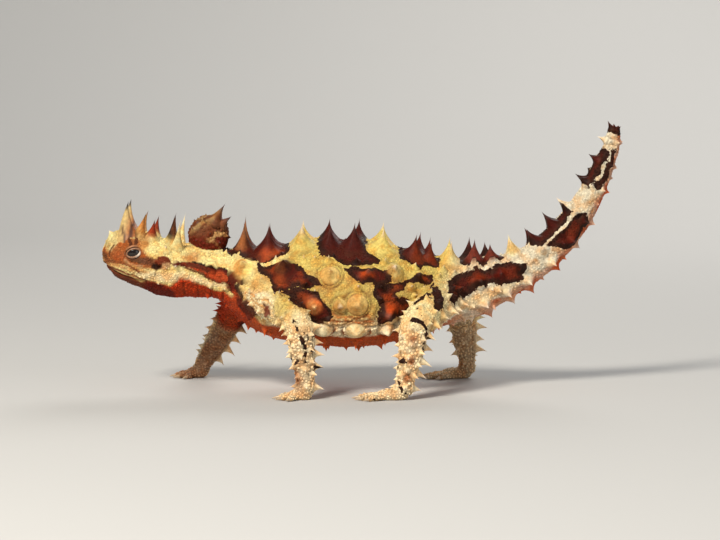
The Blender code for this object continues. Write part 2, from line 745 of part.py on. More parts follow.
def make_head():
    pieces, cutters = trunk_length("head")
    for side in (-1, 1):
        pieces.append(eyelids(side))
        cutters.append(eye_ball("socket", side, EYE_RADIUS + GAP))
        ear = BODY.point(EAR_PLACE, side * EAR_ANGLE) + BODY.normal(EAR_PLACE, side * EAR_ANGLE) * EAR_LIFT
        cutters.append(ball("ear", ear, EAR_RADII, EAR_SIDES, EAR_RINGS))
        nostril = BODY.point(NOSTRIL_PLACE, side * NOSTRIL_ANGLE)
        cutters.append(ball("nostril", nostril, NOSTRIL_RADII, NOSTRIL_SIDES, NOSTRIL_RINGS))
    cutters.append(mouth_cutter())
    fuse("head", pieces, cutters, "skin_back")


def make_eyes_and_horns():
    for side, word in ((-1, "left"), (1, "right")):
        fuse("eye_" + word, [eye_ball("eye", side, EYE_RADIUS)], [], "eye")
        skull = tube_length("skull", BODY, *HORN_MEETS, HEAD_SIDES, HEAD_RING_STEP, GAP)
        lids = eye_ball("brow", side, EYE_RADIUS + GAP + LID_THICKNESS + BROW_CLEARANCE)
        fuse("horn_" + word, [horn_shape("horn", side)], [skull, lids], "horn")


def make_nape():
    """The round knob behind the head, its two long spines and a few low ones."""
    knob = ball("knob", NAPE_CENTRE, (NAPE_RADIUS,) * 3, NAPE_SIDES, NAPE_RINGS)
    cones = []
    for direction, height, radius in NAPE_SPINES:
        for side in (-1, 1):
            out = Vector((direction[0], side * direction[1], direction[2])).normalized()
            root = Vector(NAPE_CENTRE) + out * (NAPE_RADIUS - NAPE_SPINE_SINK)
            cones.append(cone("spine", root, out, (NAPE_LEAN, 0, 0), height, radius))
    neck = tube_length("neck_cut", BODY, *KNOB_MEETS, BODY_SIDES, BODY_RING_STEP, GAP)
    fuse("nape_knob", [knob] + cones, [neck], "skin_dark")


def limb_spines(name, start, end):
    """Cones round one length of a limb, larger along its rear edge."""
    tube, side = LIMB[name], -1 if "left" in name else 1
    draw = random.Random(SEED + len(name) + int(start * 10))
    cones = []
    for row, turn in enumerate(LIMB_SPINE_TURNS):
        place = start + LIMB_SPINE_START + (row % 2) * LIMB_SPINE_STEP / 2
        while place < end - LIMB_SPINE_END:
            rear = turn == LIMB_SPINE_TURNS[-1]
            angle = turn if side < 0 else 180 - turn
            angle += draw.uniform(-LIMB_TURN_VARIATION, LIMB_TURN_VARIATION)
            height = REAR_SPINE_HEIGHT if rear else LIMB_SPINE_HEIGHT
            radius = REAR_SPINE_RADIUS if rear else LIMB_SPINE_RADIUS
            height *= draw.uniform(*LIMB_HEIGHTS)
            root, out = tube.point(place, angle), tube.normal(place, angle)
            clear = min(distance_to_body(root), distance_to_body(root + out * height))
            if clear > TRUNK_CLEARANCE and root[2] > FLOOR_CLEARANCE:
                lean = tube.frame(place)[1] * LIMB_SPINE_LEAN
                cones.append(cone("spine", root, out, lean, height, radius, sink=LIMB_SPINE_SINK))
            place += LIMB_SPINE_STEP * draw.uniform(*LIMB_STEPS)
    return cones


def toe(origin, heading, length):
    """A toe that lies along the ground, and its claw."""
    ahead = Vector((-math.cos(heading), math.sin(heading), 0))
    stations = [
        (*(origin + ahead * length * share + Vector((0, 0, height))), tall, tall, wide)
        for share, height, tall, wide in TOE_STATIONS
    ]
    tube = Tube(stations, (-ahead.y, ahead.x, 0), LIMB_SQUARENESS)
    flesh = loft("toe", [tube.ring(tube.length * share, TOE_SIDES) for share, *_ in TOE_STATIONS])
    root = origin + ahead * (length - CLAW_OVERLAP) + Vector((0, 0, CLAW_HEIGHT))
    claw = cone("claw", root, ahead, (0, 0, -CLAW_DROOP), CLAW_LENGTH, CLAW_RADIUS, CLAW_SIDES, CLAW_SINK)
    return [flesh, claw]


def make_foot(name, tube, start):
    """Wrist, palm and five clawed toes, flat where they meet the floor."""
    kind, side = name.split("_")[0], -1 if "left" in name else 1
    wrist = tube_length("wrist", tube, start - LIMB_OVERLAP, tube.length, LIMB_SIDES, LIMB_RING_STEP)
    end = Vector(tube.frame(tube.length)[0])
    middle = Vector((end.x - PALM_AHEAD[kind], end.y, PALM_HEIGHT))
    pieces = [ball("palm", middle, PALM[kind], PALM_SIDES, PALM_RINGS), wrist]
    front = Vector((middle.x - PALM[kind][0] * TOE_AHEAD, middle.y, 0))
    for turn, length in TOES[kind]:
        heading = math.radians(turn) * -side
        origin = front + Vector((0, math.sin(heading) * PALM[kind][1] * TOE_SPREAD, 0))
        pieces += toe(origin, heading, length + PALM[kind][0] * TOE_ROOT)
    pieces += limb_spines(name, start, tube.length)
    axes = ((1, 0, 0), (0, 1, 0), (0, 0, 1))
    floor = block("floor", (end.x, end.y, -CUTTER_REACH), axes, (CUTTER_REACH,) * 3)
    cutters = [end_cutter(tube, start + HALF_GAP, -1), floor]
    fuse(name + "_foot", pieces, cutters, "skin_pale")


def make_limbs():
    for name, tube in LIMB.items():
        upper, lower, _ = LIMB_NODES[name.split("_")[0]]
        elbow, wrist = tube.knots[ELBOW], tube.knots[WRIST]
        trunk = tube_length("trunk_cut", BODY, *LIMB_MEETS, BODY_SIDES, BODY_RING_STEP, GAP)
        arm = tube_length("arm", tube, 0.0, elbow + LIMB_OVERLAP, LIMB_SIDES, LIMB_RING_STEP)
        fuse(
            f"{name}_{upper}",
            [arm] + limb_spines(name, 0.0, elbow),
            [end_cutter(tube, elbow - HALF_GAP, 1), trunk],
            "skin_pale",
        )
        shin = tube_length(
            "shin", tube, elbow - LIMB_OVERLAP, wrist + LIMB_OVERLAP, LIMB_SIDES, LIMB_RING_STEP
        )
        cutters = [end_cutter(tube, elbow + HALF_GAP, -1), end_cutter(tube, wrist - HALF_GAP, 1)]
        fuse(f"{name}_{lower}", [shin] + limb_spines(name, elbow, wrist), cutters, "skin_pale")
        make_foot(name, tube, wrist)


def centre_on_floor():
    """Moves the whole animal so that its box stands centred on the origin."""
    bodies = [o for o in bpy.data.objects if o.type == "MESH"]
    corners = np.array([v.co for o in bodies for v in o.data.vertices])
    low, high = corners.min(axis=0), corners.max(axis=0)
    shift = Matrix.Translation((-(low[0] + high[0]) / 2, -(low[1] + high[1]) / 2, -low[2]))
    for obj in bodies:
        obj.data.transform(shift)
    print("shift in mm:", [round(c / MM, 3) for c in shift.translation])


def main():
    for obj in list(bpy.data.objects):
        bpy.data.objects.remove(obj)
    make_materials()
    make_head()
    make_eyes_and_horns()
    make_nape()
    for name in BODY_CUTS:
        if name != "head":
            fuse(name, *trunk_length(name), "skin_back")
    make_limbs()
    centre_on_floor()


main()
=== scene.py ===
"""The looks of a life-size thorny devil: its skin, scales, spines, horns, lids, eyes and claws.

Sizes are in millimetres and meshes are made in metres. The head points to -X, the animal's left side to -Y.
A girth angle is 0 on the back, 90 on the right flank, -90 on the left flank and 180 under the belly.
"""

import math
import random
from itertools import product
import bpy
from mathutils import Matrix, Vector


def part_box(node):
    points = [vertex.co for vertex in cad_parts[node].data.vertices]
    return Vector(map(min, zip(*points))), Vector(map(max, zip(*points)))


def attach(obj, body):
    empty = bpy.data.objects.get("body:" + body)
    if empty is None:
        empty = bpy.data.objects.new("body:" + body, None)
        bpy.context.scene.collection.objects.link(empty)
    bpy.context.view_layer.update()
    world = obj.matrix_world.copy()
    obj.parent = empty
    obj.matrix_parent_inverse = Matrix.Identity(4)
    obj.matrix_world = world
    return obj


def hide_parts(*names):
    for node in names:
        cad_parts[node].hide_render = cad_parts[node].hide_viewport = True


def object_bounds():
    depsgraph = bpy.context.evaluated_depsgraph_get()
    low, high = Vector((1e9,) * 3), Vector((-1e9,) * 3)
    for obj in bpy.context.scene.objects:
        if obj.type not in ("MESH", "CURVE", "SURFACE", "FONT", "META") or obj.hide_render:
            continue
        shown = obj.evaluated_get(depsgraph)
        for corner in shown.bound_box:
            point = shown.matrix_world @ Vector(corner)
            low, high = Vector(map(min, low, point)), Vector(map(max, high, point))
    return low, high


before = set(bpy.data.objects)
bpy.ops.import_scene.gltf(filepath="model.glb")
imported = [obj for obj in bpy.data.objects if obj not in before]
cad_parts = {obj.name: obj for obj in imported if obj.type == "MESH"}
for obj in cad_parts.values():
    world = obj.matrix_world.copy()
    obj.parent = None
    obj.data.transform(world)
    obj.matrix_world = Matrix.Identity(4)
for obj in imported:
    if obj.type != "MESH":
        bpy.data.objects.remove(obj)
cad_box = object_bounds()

from types import SimpleNamespace

import bmesh
import bpy
import numpy as np
from mathutils import Vector, noise

MM = 0.001
SEED = 11
SIDES = (-1, 1)

# The trunk's stations, snout to tail tip: x, z of the centreline, then its reach up, down and sideways.
SPINE_LINE = [
    (-66.8, 36.8, 3.9, 3.9, 4.0),
    (-65.7, 37.1, 4.2, 4.4, 4.4),
    (-63.8, 37.4, 6.0, 5.5, 5.8),
    (-59.2, 37.1, 8.2, 6.8, 8.1),
    (-53.6, 35.9, 7.3, 7.8, 8.9),
    (-48.0, 34.6, 7.3, 8.5, 8.7),
    (-39.5, 33.2, 7.2, 7.2, 8.0),
    (-32.4, 32.0, 7.6, 6.9, 9.0),
    (-26.8, 30.3, 9.8, 9.4, 12.3),
    (-19.8, 28.0, 12.8, 12.0, 16.5),
    (-9.9, 26.2, 15.6, 13.1, 20.0),
    (0.0, 25.4, 16.2, 13.2, 21.0),
    (11.3, 25.2, 15.7, 12.4, 19.5),
    (19.8, 25.5, 13.8, 10.4, 15.5),
    (28.2, 26.3, 11.1, 8.4, 11.2),
    (36.6, 27.9, 9.0, 7.7, 8.4),
    (45.1, 30.9, 6.8, 6.0, 6.8),
    (53.6, 35.2, 5.2, 5.1, 5.7),
    (60.6, 41.1, 4.6, 4.5, 4.9),
    (66.1, 47.6, 4.1, 4.0, 4.4),
    (70.9, 55.5, 3.5, 3.4, 3.7),
    (74.2, 63.1, 2.9, 2.8, 3.1),
    (76.3, 68.7, 2.3, 2.2, 2.4),
    (77.1, 72.9, 1.5, 1.5, 1.6),
    (77.3, 73.9, 1.0, 1.0, 1.1),
]
SNOUT_ROUNDING = 3.2
TAIL_TIP_ROUNDING = 1.0
BODY_SQUARENESS = 2.3
LIMB_SQUARENESS = 2.0
# Directions on the skin are read between points this far to both sides, in mm and in degrees.
NEAR, NEAR_TURN = 0.25, 2
# Points are located on a tube by steps this long in mm, so many points at a time.
LOCATE_STEP, LOCATE_CHUNK = 0.5, 20000

# Limb stations, root to wrist or ankle: x, y, z of the centreline and the limb's radius.
LIMBS = {
    "front_left": [
        (-24.5, -7.0, 27.5, 5.2),
        (-18.0, -18.0, 25.0, 4.4),
        (-11.4, -25.0, 20.6, 3.8),
        (-10.2, -25.4, 12.6, 3.3),
        (-9.4, -25.3, 5.2, 2.5),
        (-9.5, -25.4, 1.9, 2.4),
    ],
    "front_right": [
        (-26.5, 7.0, 27.5, 5.2),
        (-30.3, 17.5, 20.6, 4.2),
        (-33.6, 22.0, 14.6, 3.6),
        (-36.8, 24.0, 9.0, 3.1),
        (-39.8, 25.0, 4.2, 2.4),
        (-40.6, 25.2, 1.9, 2.3),
    ],
    "hind_left": [
        (29.5, -5.0, 27.0, 6.4),
        (25.6, -15.8, 24.2, 5.2),
        (20.8, -23.2, 19.6, 4.1),
        (19.5, -25.0, 12.2, 3.2),
        (18.0, -25.9, 5.0, 2.4),
        (17.6, -26.0, 1.9, 2.4),
    ],
    "hind_right": [
        (31.0, 5.0, 27.0, 6.4),
        (33.4, 14.8, 22.4, 4.9),
        (35.3, 20.8, 16.4, 3.9),
        (36.2, 22.4, 9.8, 3.1),
        (36.7, 23.0, 4.6, 2.4),
        (36.6, 23.1, 1.9, 2.4),
    ],
}
ELBOW, WRIST = 2, 4

PALM = {"front": (3.0, 2.5, 1.9), "hind": (4.4, 2.6, 1.9)}
PALM_AHEAD = {"front": 1.2, "hind": 3.1}
PALM_HEIGHT = 1.25
TOES = {
    "front": ((-58, 3.0), (-26, 3.7), (0, 4.0), (26, 3.6), (58, 2.7)),
    "hind": ((-34, 4.6), (-14, 5.8), (4, 6.4), (20, 5.8), (46, 3.6)),
}
TOE_RADIUS = 0.85
# A toe's stations: share of its length, height of its middle, and its reach up and down and sideways.
TOE_SHAPE = [
    (0.0, 1.1, 1.05, 1.0),
    (0.3, 1.0, 0.95, 0.95),
    (0.55, 0.92, 0.92, TOE_RADIUS),
    (0.8, 0.75, 0.8, TOE_RADIUS * 0.85),
    (1.0, 0.6, 0.68, TOE_RADIUS * 0.8),
]
# Where toes start, in shares of the palm: ahead and sideways; and how much of the palm each toe also crosses.
TOE_AHEAD, TOE_ASIDE, TOE_INSIDE = 0.25, 0.55, 0.45
CLAW_LENGTH = 1.9
CLAW_RADIUS = 0.45
# Rings along a claw, as shares of its length, then its droop in mm and how its rings are shaped.
CLAW_SHARES = [-0.35, -0.1, 0.1, 0.3, 0.5, 0.7, 0.86]
CLAW_DROOP, CLAW_NARROWNESS, CLAW_FLARE, CLAW_SWELL, CLAW_SIDES = 0.28, 0.8, 0.8, 1.1, 10

# Spines of the trunk, row by row: place along the body, girth angle, height and radius.
BACK_ROW = [
    (38.1, 21, 9.7, 3.2),
    (44.3, 21, 8.3, 4.0),
    (55.0, 21, 7.5, 4.3),
    (64.0, 21, 6.9, 4.1),
    (71.2, 21, 7.2, 4.1),
    (80.3, 21, 7.1, 4.2),
    (89.8, 21, 7.2, 3.2),
    (94.2, 21, 5.8, 2.3),
    (100.7, 21, 6.9, 2.9),
    (108.3, 22, 6.4, 2.7),
    (114.1, 23, 5.2, 2.4),
]
# How much further back some spines of the far side stand than those of the near side, by place.
FAR_SHIFTS = {71.2: 1.6, 89.8: 1.3, 108.3: -1.3, 114.1: -1.3}
SHOULDER_ROW = [
    (39.4, 65, 4.0, 3.4),
    (51.0, 58, 4.4, 3.2),
    (65.0, 63, 3.0, 2.9),
    (75.8, 61, 3.2, 2.5),
    (83.5, 55, 3.4, 2.5),
    (90.5, 61, 3.0, 2.2),
    (97.5, 66, 3.2, 2.0),
]
FLANK_ROW = [
    (61.2, 92, 3.4, 2.5),
    (68.4, 90, 2.4, 2.0),
    (72.9, 89, 2.6, 3.0),
    (81.6, 100, 2.4, 2.9),
    (90.5, 83, 3.0, 2.1),
]
LOWER_ROW = [
    (64.0, 121, 1.9, 2.6),
    (72.7, 120, 1.9, 2.9),
    (81.2, 121, 2.6, 2.2),
]
# Rows of small spines: girth angle, first and last place, step, height and radius.
SMALL_ROWS = [
    (46, 48.0, 116.0, 8.3, 2.3, 1.1),
    (74, 58.0, 104.0, 7.4, 2.2, 1.1),
    (106, 58.0, 114.0, 7.7, 2.3, 1.1),
    (142, 50.0, 110.0, 7.4, 2.4, 1.0),
    (164, 46.0, 104.0, 9.4, 1.6, 0.9),
]
SMALL_JITTER = 0.9
# How much the height of a spine and its place along the body vary.
HEIGHT_VARIES, PLACE_VARIES = 0.09, 0.3
# Rings of spines round the tail: their places, the girth angle of each spine and its share of the full size.
TAIL_WHORLS = [120.6, 128.5, 136.2, 142.9, 152.4, 159.4, 165.8, 169.8]
TAIL_WHORL_SHAPE = [(26, 1.0), (78, 0.62), (122, 0.56), (163, 0.42)]
TAIL_HEIGHT_START, TAIL_HEIGHT_END = 5.8, 2.3
TAIL_RADIUS_START, TAIL_RADIUS_END = 2.3, 0.9
LEAST_TAIL_RADIUS = 0.6
LOWER_TAIL_WHORLS = [108.0, 114.6]
HEAD_SPINES = [
    (3.4, 27, 2.2, 1.8),
    (5.0, 62, 1.0, 0.8),
    (9.4, 30, 7.4, 1.6),
    (12.8, 24, 6.1, 1.85),
    (18.2, 21, 8.2, 1.8),
    (20.6, 36, 9.6, 1.6),
    (17.0, 50, 2.0, 1.3),
    (21.2, 84, 2.2, 1.2),
    (13.0, 116, 1.1, 0.8),
    (17.6, 118, 1.3, 0.8),
    (22.2, 116, 1.6, 0.9),
]
NECK_SPINES = [
    (30.8, 74, 3.0, 1.5),
    (31.4, 112, 1.8, 1.0),
    (31.0, 146, 1.4, 0.9),
]
HORN_PLACE, HORN_ANGLE = 6.4, 28
HORN_HEIGHT, HORN_RADIUS = 9.3, 2.5
HORN_SINK = 2.0
# How a horn rises: its share of the skin's own direction, and what is added to it.
HORN_SQUARE, HORN_RISE = 0.55, (-0.1, 0, 0.75)

LIMB_SPINE_TURNS = (-95, -50, 0, 50, 95)
LIMB_SPINE_STEP = 3.4
LIMB_SPINE_HEIGHT, LIMB_SPINE_RADIUS = 1.9, 0.85
LIMB_SPINE_SINK = 0.6
# Rows on a limb: how far from a joint they start and end, and how the spines' angle, height and step vary.
LIMB_ROW_START, LIMB_ROW_END, LIMB_SPINE_SWAY = 1.6, 1.2, 8
LIMB_HEIGHTS, LIMB_STEPS = (0.75, 1.15), (0.92, 1.08)
TRUNK_GAP, LOWEST_LIMB_SPINE = 1.0, 1.8
REAR_SPINE_HEIGHT, REAR_SPINE_RADIUS = 3.2, 1.2

NAPE_CENTRE = (-37.0, 0.0, 43.3)
NAPE_RADIUS = 5.6
# Spines of the knob: direction, height and radius.
NAPE_SPINES = [
    ((0.38, 0.42, 0.83), 5.1, 1.7),
    ((0.72, 0.46, 0.62), 3.3, 1.4),
    ((-0.50, 0.60, 0.64), 1.2, 0.9),
    ((0.10, 0.98, 0.16), 1.2, 0.9),
    ((-0.90, 0.40, 0.10), 1.0, 0.8),
]

EYE_CENTRE = (-57.6, 6.8, 39.0)
EYE_RADIUS = 2.2
LID_HALF_LENGTH, LID_HALF_HEIGHT = 2.2, 1.65
# The hollow behind the eyeball: how far round the eye's middle it reaches in and out, and its depth.
EYE_INNER_REACH, EYE_REACH, EYE_HOLLOW = 1.0, 6.0, 2.6
# Shares of the lids' opening: where the hollow starts and is full, and where its rim of painted shade starts
# and is full; then how dark that shade is.
HOLLOW_EDGE, HOLLOW_FULL, EYE_SHADE_EDGE, EYE_SHADE_FULL, EYE_RIM_SHADE = 1.02, 0.8, 1.5, 1.05, 0.55
EYE_BARE, EYEBALL_MESH = 1.25, (48, 32)
MOUTH_FRONT_HEIGHT, MOUTH_BACK_HEIGHT = 35.2, 31.0
MOUTH_END, MOUTH_CURVE = 14.0, 1.5
MOUTH_PLACES = [0.25, 0.7, 1.3, 2.0, 3.0, 4.5, 6.0, 7.5, 9.0, 10.5, MOUTH_END]
SPINE_SINK = 0.9
# How far a spine's tip leans towards the rear, by its height, and where spines stand upright on the body.
SPINE_LEAN, LIMB_SPINE_LEAN, HORN_LEAN, NAPE_LEAN = 0.06, 0.22, 0.22, 0.13
UPRIGHT_START, UPRIGHT_END, UPRIGHT_SHARE = 12.0, 104.0, 0.35
CUT_CLEARANCE, LIMB_CLEARANCE, LEAST_CLEARANCE = 0.6, 0.6, 0.5

# The skin's mesh: the size of its faces, where they are halved on head and feet, and its smoothing.
SKIN_VOXEL = 0.46
HEAD_DETAIL_END, HEAD_BACK, HEAD_LOW = 27.0, -38, 22
# Sides and step in mm of the closed shapes under the skin, and across and rings of the knob's ball.
BODY_MESH, LIMB_MESH, TOE_MESH, KNOB_MESH = (64, 0.9), (28, 0.9), (16, 0.5), (32, 22)
FOOT_DETAIL_HEIGHT = 4.5
SMOOTHING_ROUNDS = 10
SMOOTHING_PULL, SMOOTHING_PUSH = 0.5, -0.52

# Colours, as linear red, green and blue.
CREAM = (0.74, 0.57, 0.22)
YELLOW = (0.64, 0.47, 0.120)
WHITE = (0.74, 0.64, 0.48)
WARM_CREAM = (0.84, 0.60, 0.30)
BELLY_WHITE = (0.96, 0.79, 0.50)
# Tan painted as mottled shade between the scutes of the flanks and shoulders.
FLANK_SHADE_TAN = (0.46, 0.24, 0.065)
HEAD_CREAM = (0.82, 0.66, 0.27)
TAN = (0.52, 0.26, 0.08)
PALE_TAN = (0.60, 0.34, 0.13)
BROWN = (0.36, 0.105, 0.026)
DARK_BROWN = (0.12, 0.040, 0.015)
# Dark red under the chest: partly its own colour, partly painted shade.
CHEST_RED_AND_SHADE = (0.42, 0.052, 0.012)
MAROON = (0.088, 0.008, 0.004)
JAW = (0.13, 0.011, 0.005)
ORANGE = (0.46, 0.072, 0.013)
# Red-orange of the undersides: partly their own colour, partly painted red light bounced up from the ground.
UNDERSIDE_AND_BOUNCE = (0.54, 0.100, 0.025)
LEG = (0.92, 0.71, 0.42)
# Painted shade on the limbs' inner sides, darkest on the forelimbs.
INNER_LEG_SHADE = {"front": (0.23, 0.078, 0.036), "hind": (0.50, 0.33, 0.18)}
UPPER_LEG = (0.86, 0.69, 0.34)
BLACK = (0.020, 0.008, 0.005)
KNOB_TOP, KNOB_LOW, KNOB_PALE_AT = (0.15, 0.045, 0.017), (0.13, 0.014, 0.006), (0.45, -0.08)
# A painted highlight along the top of the knob.
KNOB_HIGHLIGHT = (0.55, 0.36, 0.14)
KNOB_PART, KNOB_DARK = 9, 3.0
HEAD_SHAKE, BODY_SHAKE = 0.30, 1.1
PATTERN_MARGIN = 4

# Dark markings, mirrored on both sides: corners as place along the body and girth angle.
MARKINGS = {
    "back_1": [(32.6, 3), (51, 3), (51, 30), (50, 36), (47, 43), (44, 50), (41, 47), (38, 40), (35.5, 33),
        (33.2, 20)],
    "back_2": [(60.5, 3), (75.5, 3), (76, 34), (80, 42), (80, 47), (75, 49), (71, 51), (67, 46), (63, 38),
        (60.5, 30)],
    "back_3": [(85, 3), (97.3, 3), (97.3, 38), (94, 42), (91, 49), (88, 40), (85.5, 36)],
    "back_4": [(104, 3), (117.5, 3), (118, 28), (117, 39), (110, 40), (106, 38), (104, 30)],
    "tail_1": [(126, 3), (140, 3), (143, 30), (143, 58), (138, 60), (134, 63), (130, 63), (127, 42)],
    "tail_2": [(151.5, 3), (163, 3), (163.6, 54), (163.6, 96), (161.4, 92), (158.4, 86), (154.6, 78),
        (152.6, 74), (151.5, 40)],
    "tail_tip": [(167.9, -120), (179, -120), (179, 360), (167.9, 360)],
    "flank_1": [(42, 51), (45, 54), (48, 51), (55, 52), (57, 57), (60, 66), (63, 75), (59, 76), (52, 84),
        (50, 88), (48, 81), (45, 70)],
    "flank_2": [(52, 84), (59, 77), (62, 83), (66, 90), (66, 102), (64, 111), (61, 111), (60, 99),
        (55, 90)],
    "flank_3": [(69, 54), (72, 51), (75, 54), (79, 54), (83, 57), (82, 69), (78, 72), (74, 70), (71, 63)],
    "flank_4": [(78, 72), (82, 69), (86, 66), (91, 55), (95, 54), (94, 71), (89, 70), (86, 75), (84, 81),
        (85, 84), (89, 90), (87, 99), (84, 103), (82, 108), (79, 112), (78, 102), (79, 90), (78, 84)],
    "hip": [(98.4, 85), (98.8, 76), (100.5, 67), (103, 55), (109, 43), (111, 56), (115, 50), (119, 62),
        (123, 80), (120, 109), (115, 102), (111, 88), (105, 88), (102.5, 92), (101, 94), (98.8, 92)],
    "thigh": [(89.6, 84), (92.4, 85), (94.0, 84), (94.6, 77), (96.4, 77), (96.7, 92), (96.0, 110),
        (94.4, 108), (93.4, 95), (90.2, 90)],
    "tail_side_1": [(131, 74), (134, 74), (138, 77), (143, 80), (145, 112), (143, 132), (139, 143),
        (135, 143), (133, 130), (132, 96)],
    "tail_side_2": [(152.2, 74), (154.2, 92), (157.0, 97), (160.4, 106), (162.6, 112), (164.3, 96),
        (164.5, 134), (159, 134), (156.5, 134), (154.2, 124), (152.0, 98)],
}

# Patches of colour on the pale ground: colour, strength, softness of the edge in mm, and corners.
PATCHES = [
    (BROWN, 1.0, 0.7, [(0, 20), (3, 22), (5, 40), (7, 50), (9.5, 60), (11.5, 68), (12.8, 76), (16, 86),
        (16, 96), (12, 98), (9, 98), (4, 100), (0, 100)]),
    ((0.66, 0.51, 0.21), 0.95, 0.5, [(1.6, 0), (6, 0), (6.4, 38), (5.2, 52), (4.3, 60), (3.2, 74),
        (2.2, 70), (1.8, 40)]),
    (TAN, 0.9, 0.6, [(7.5, 0), (10, 12), (12.5, 40), (12.6, 58), (11, 67), (9.3, 58)]),
    ((0.34, 0.075, 0.020), 0.6, 0.6, [(3, 84), (6, 80), (7.5, 88), (7, 95), (3.5, 96)]),
    (BROWN, 0.9, 0.4, [(7.2, 50), (9.4, 48), (10.2, 58), (9.8, 68), (8.2, 66), (7.0, 58)]),
    (DARK_BROWN, 0.75, 0.5, [(0, 40), (1.2, 50), (2.0, 80), (1.5, 96), (0, 96)]),
    (PALE_TAN, 1.0, 0.25, [(0.2, 103), (3, 102), (6, 101.5), (8.5, 104.5), (10.5, 109), (9, 113), (5, 114),
        (0.2, 115)]),
    ((0.80, 0.61, 0.33), 0.95, 0.7, [(9, 115), (12, 106), (16, 99), (19, 96), (23, 91), (28, 94),
        (34, 100), (38, 106), (34, 109), (28, 107), (23, 108), (19, 113), (15, 119), (12, 119)]),
    ((0.50, 0.20, 0.05), 0.8, 0.5, [(9.5, 99), (12.5, 99), (14.5, 103), (12.5, 107.5), (10.2, 106)]),
    ((0.09, 0.042, 0.018), 0.95, 0.25, [(6.5, 88), (9, 91.5), (11.4, 90.5), (13, 84), (11.3, 82), (9, 87),
        (7.2, 85)]),
    ((0.15, 0.060, 0.032), 0.95, 0.3, [(10.6, 84), (13, 77), (15.5, 77), (16, 87), (14, 92), (11.6, 90)]),
    ((0.17, 0.030, 0.010), 1.0, 0.25, [(15, 82), (15.7, 71), (17.2, 66), (18.9, 70), (19.7, 80),
        (18.9, 89), (17.2, 93), (15.7, 91)]),
    ((0.52, 0.29, 0.13), 0.9, 0.4, [(17.3, 84), (19.2, 79), (19.7, 88), (18.4, 94), (17.0, 92)]),
    (BLACK, 1.0, 0.25, [(14.5, 88), (16.2, 86.5), (17.3, 92), (15.9, 97), (14.4, 95)]),
    ((0.42, 0.040, 0.007), 1.0, 0.6, [(14, 124), (17, 119), (20.5, 119), (22, 106), (22.5, 100),
        (25.5, 102), (28, 109), (31, 115), (36, 119), (42, 116), (42, 205), (26, 205), (12, 240)]),
    (PALE_TAN, 0.9, 0.3, [(0.8, 112), (4, 120), (9, 122), (13, 119), (13, 126), (9, 130), (4, 129),
        (1.5, 116)]),
    (JAW, 0.95, 0.45, [(0, 106), (1, 110), (1.6, 119), (3, 128), (5, 131), (9, 132), (12.5, 131),
        (14, 123), (16.5, 120), (18.5, 121), (20.5, 126), (22, 140), (22, 220), (12, 230), (6, 260),
        (2, 340), (0, 600)]),
    # Painted brown shade on the neck beside the knob.
    ((0.50, 0.22, 0.065), 0.8, 1.0, [(22.5, 60), (24.5, 44), (27, 38), (27.5, 62), (27, 70), (24.5, 71)]),
    (MAROON, 1.0, 0.3, [(19.5, 80), (22.5, 73), (26, 69), (28, 72), (32, 75), (35.5, 72), (37.5, 82),
        (40, 95), (41, 108), (38.4, 110), (35.5, 102), (32.5, 99), (30, 93), (28, 87), (25, 83.5),
        (20, 84.5)]),
    ((0.47, 0.066, 0.016), 0.9, 0.5, [(23, 76), (26, 74), (29.5, 79), (34, 83), (36, 88), (36.5, 98),
        (34, 97.5), (30, 89), (25, 81)]),
    # Dark red under the chest, partly painted shade.
    (CHEST_RED_AND_SHADE, 1.0, 0.6, [(39, 101), (41, 107), (43, 114), (46, 124), (49, 130), (54, 127), (60, 126),
        (60, 205), (38, 205)]),
    # The belly's underside: own colour with painted bounced light.
    (UNDERSIDE_AND_BOUNCE, 0.85, 1.2, [(46, 127), (50, 131), (60, 123), (64, 130), (64, 205), (46, 205)]),
    ((0.80, 0.66, 0.40), 0.85, 0.6, [(41, 98), (46, 86), (50, 90), (51, 103), (49, 119), (46, 121),
        (44, 112)]),
    ((0.14, 0.020, 0.008), 0.95, 0.25, [(47.2, 98), (49.5, 97), (50.4, 103), (49.4, 107), (48.2, 104)]),
    ((0.085, 0.012, 0.006), 0.95, 0.35, [(40, 112), (43.5, 106), (46.5, 110), (47, 123), (46, 136),
        (42.5, 134), (40.5, 124)]),
    (WARM_CREAM, 0.7, 0.8, [(97, 96), (104, 93), (112, 97), (118, 108), (112, 118), (100, 118)]),
    # Painted shade beside a spine at the tail's base.
    (TAN, 0.85, 0.7, [(124.0, 80), (126.4, 80), (126.4, 94), (124.0, 94)]),
    (TAN, 0.85, 0.7, [(146.8, 94), (149.2, 94), (149.2, 114), (146.8, 114)]),
]

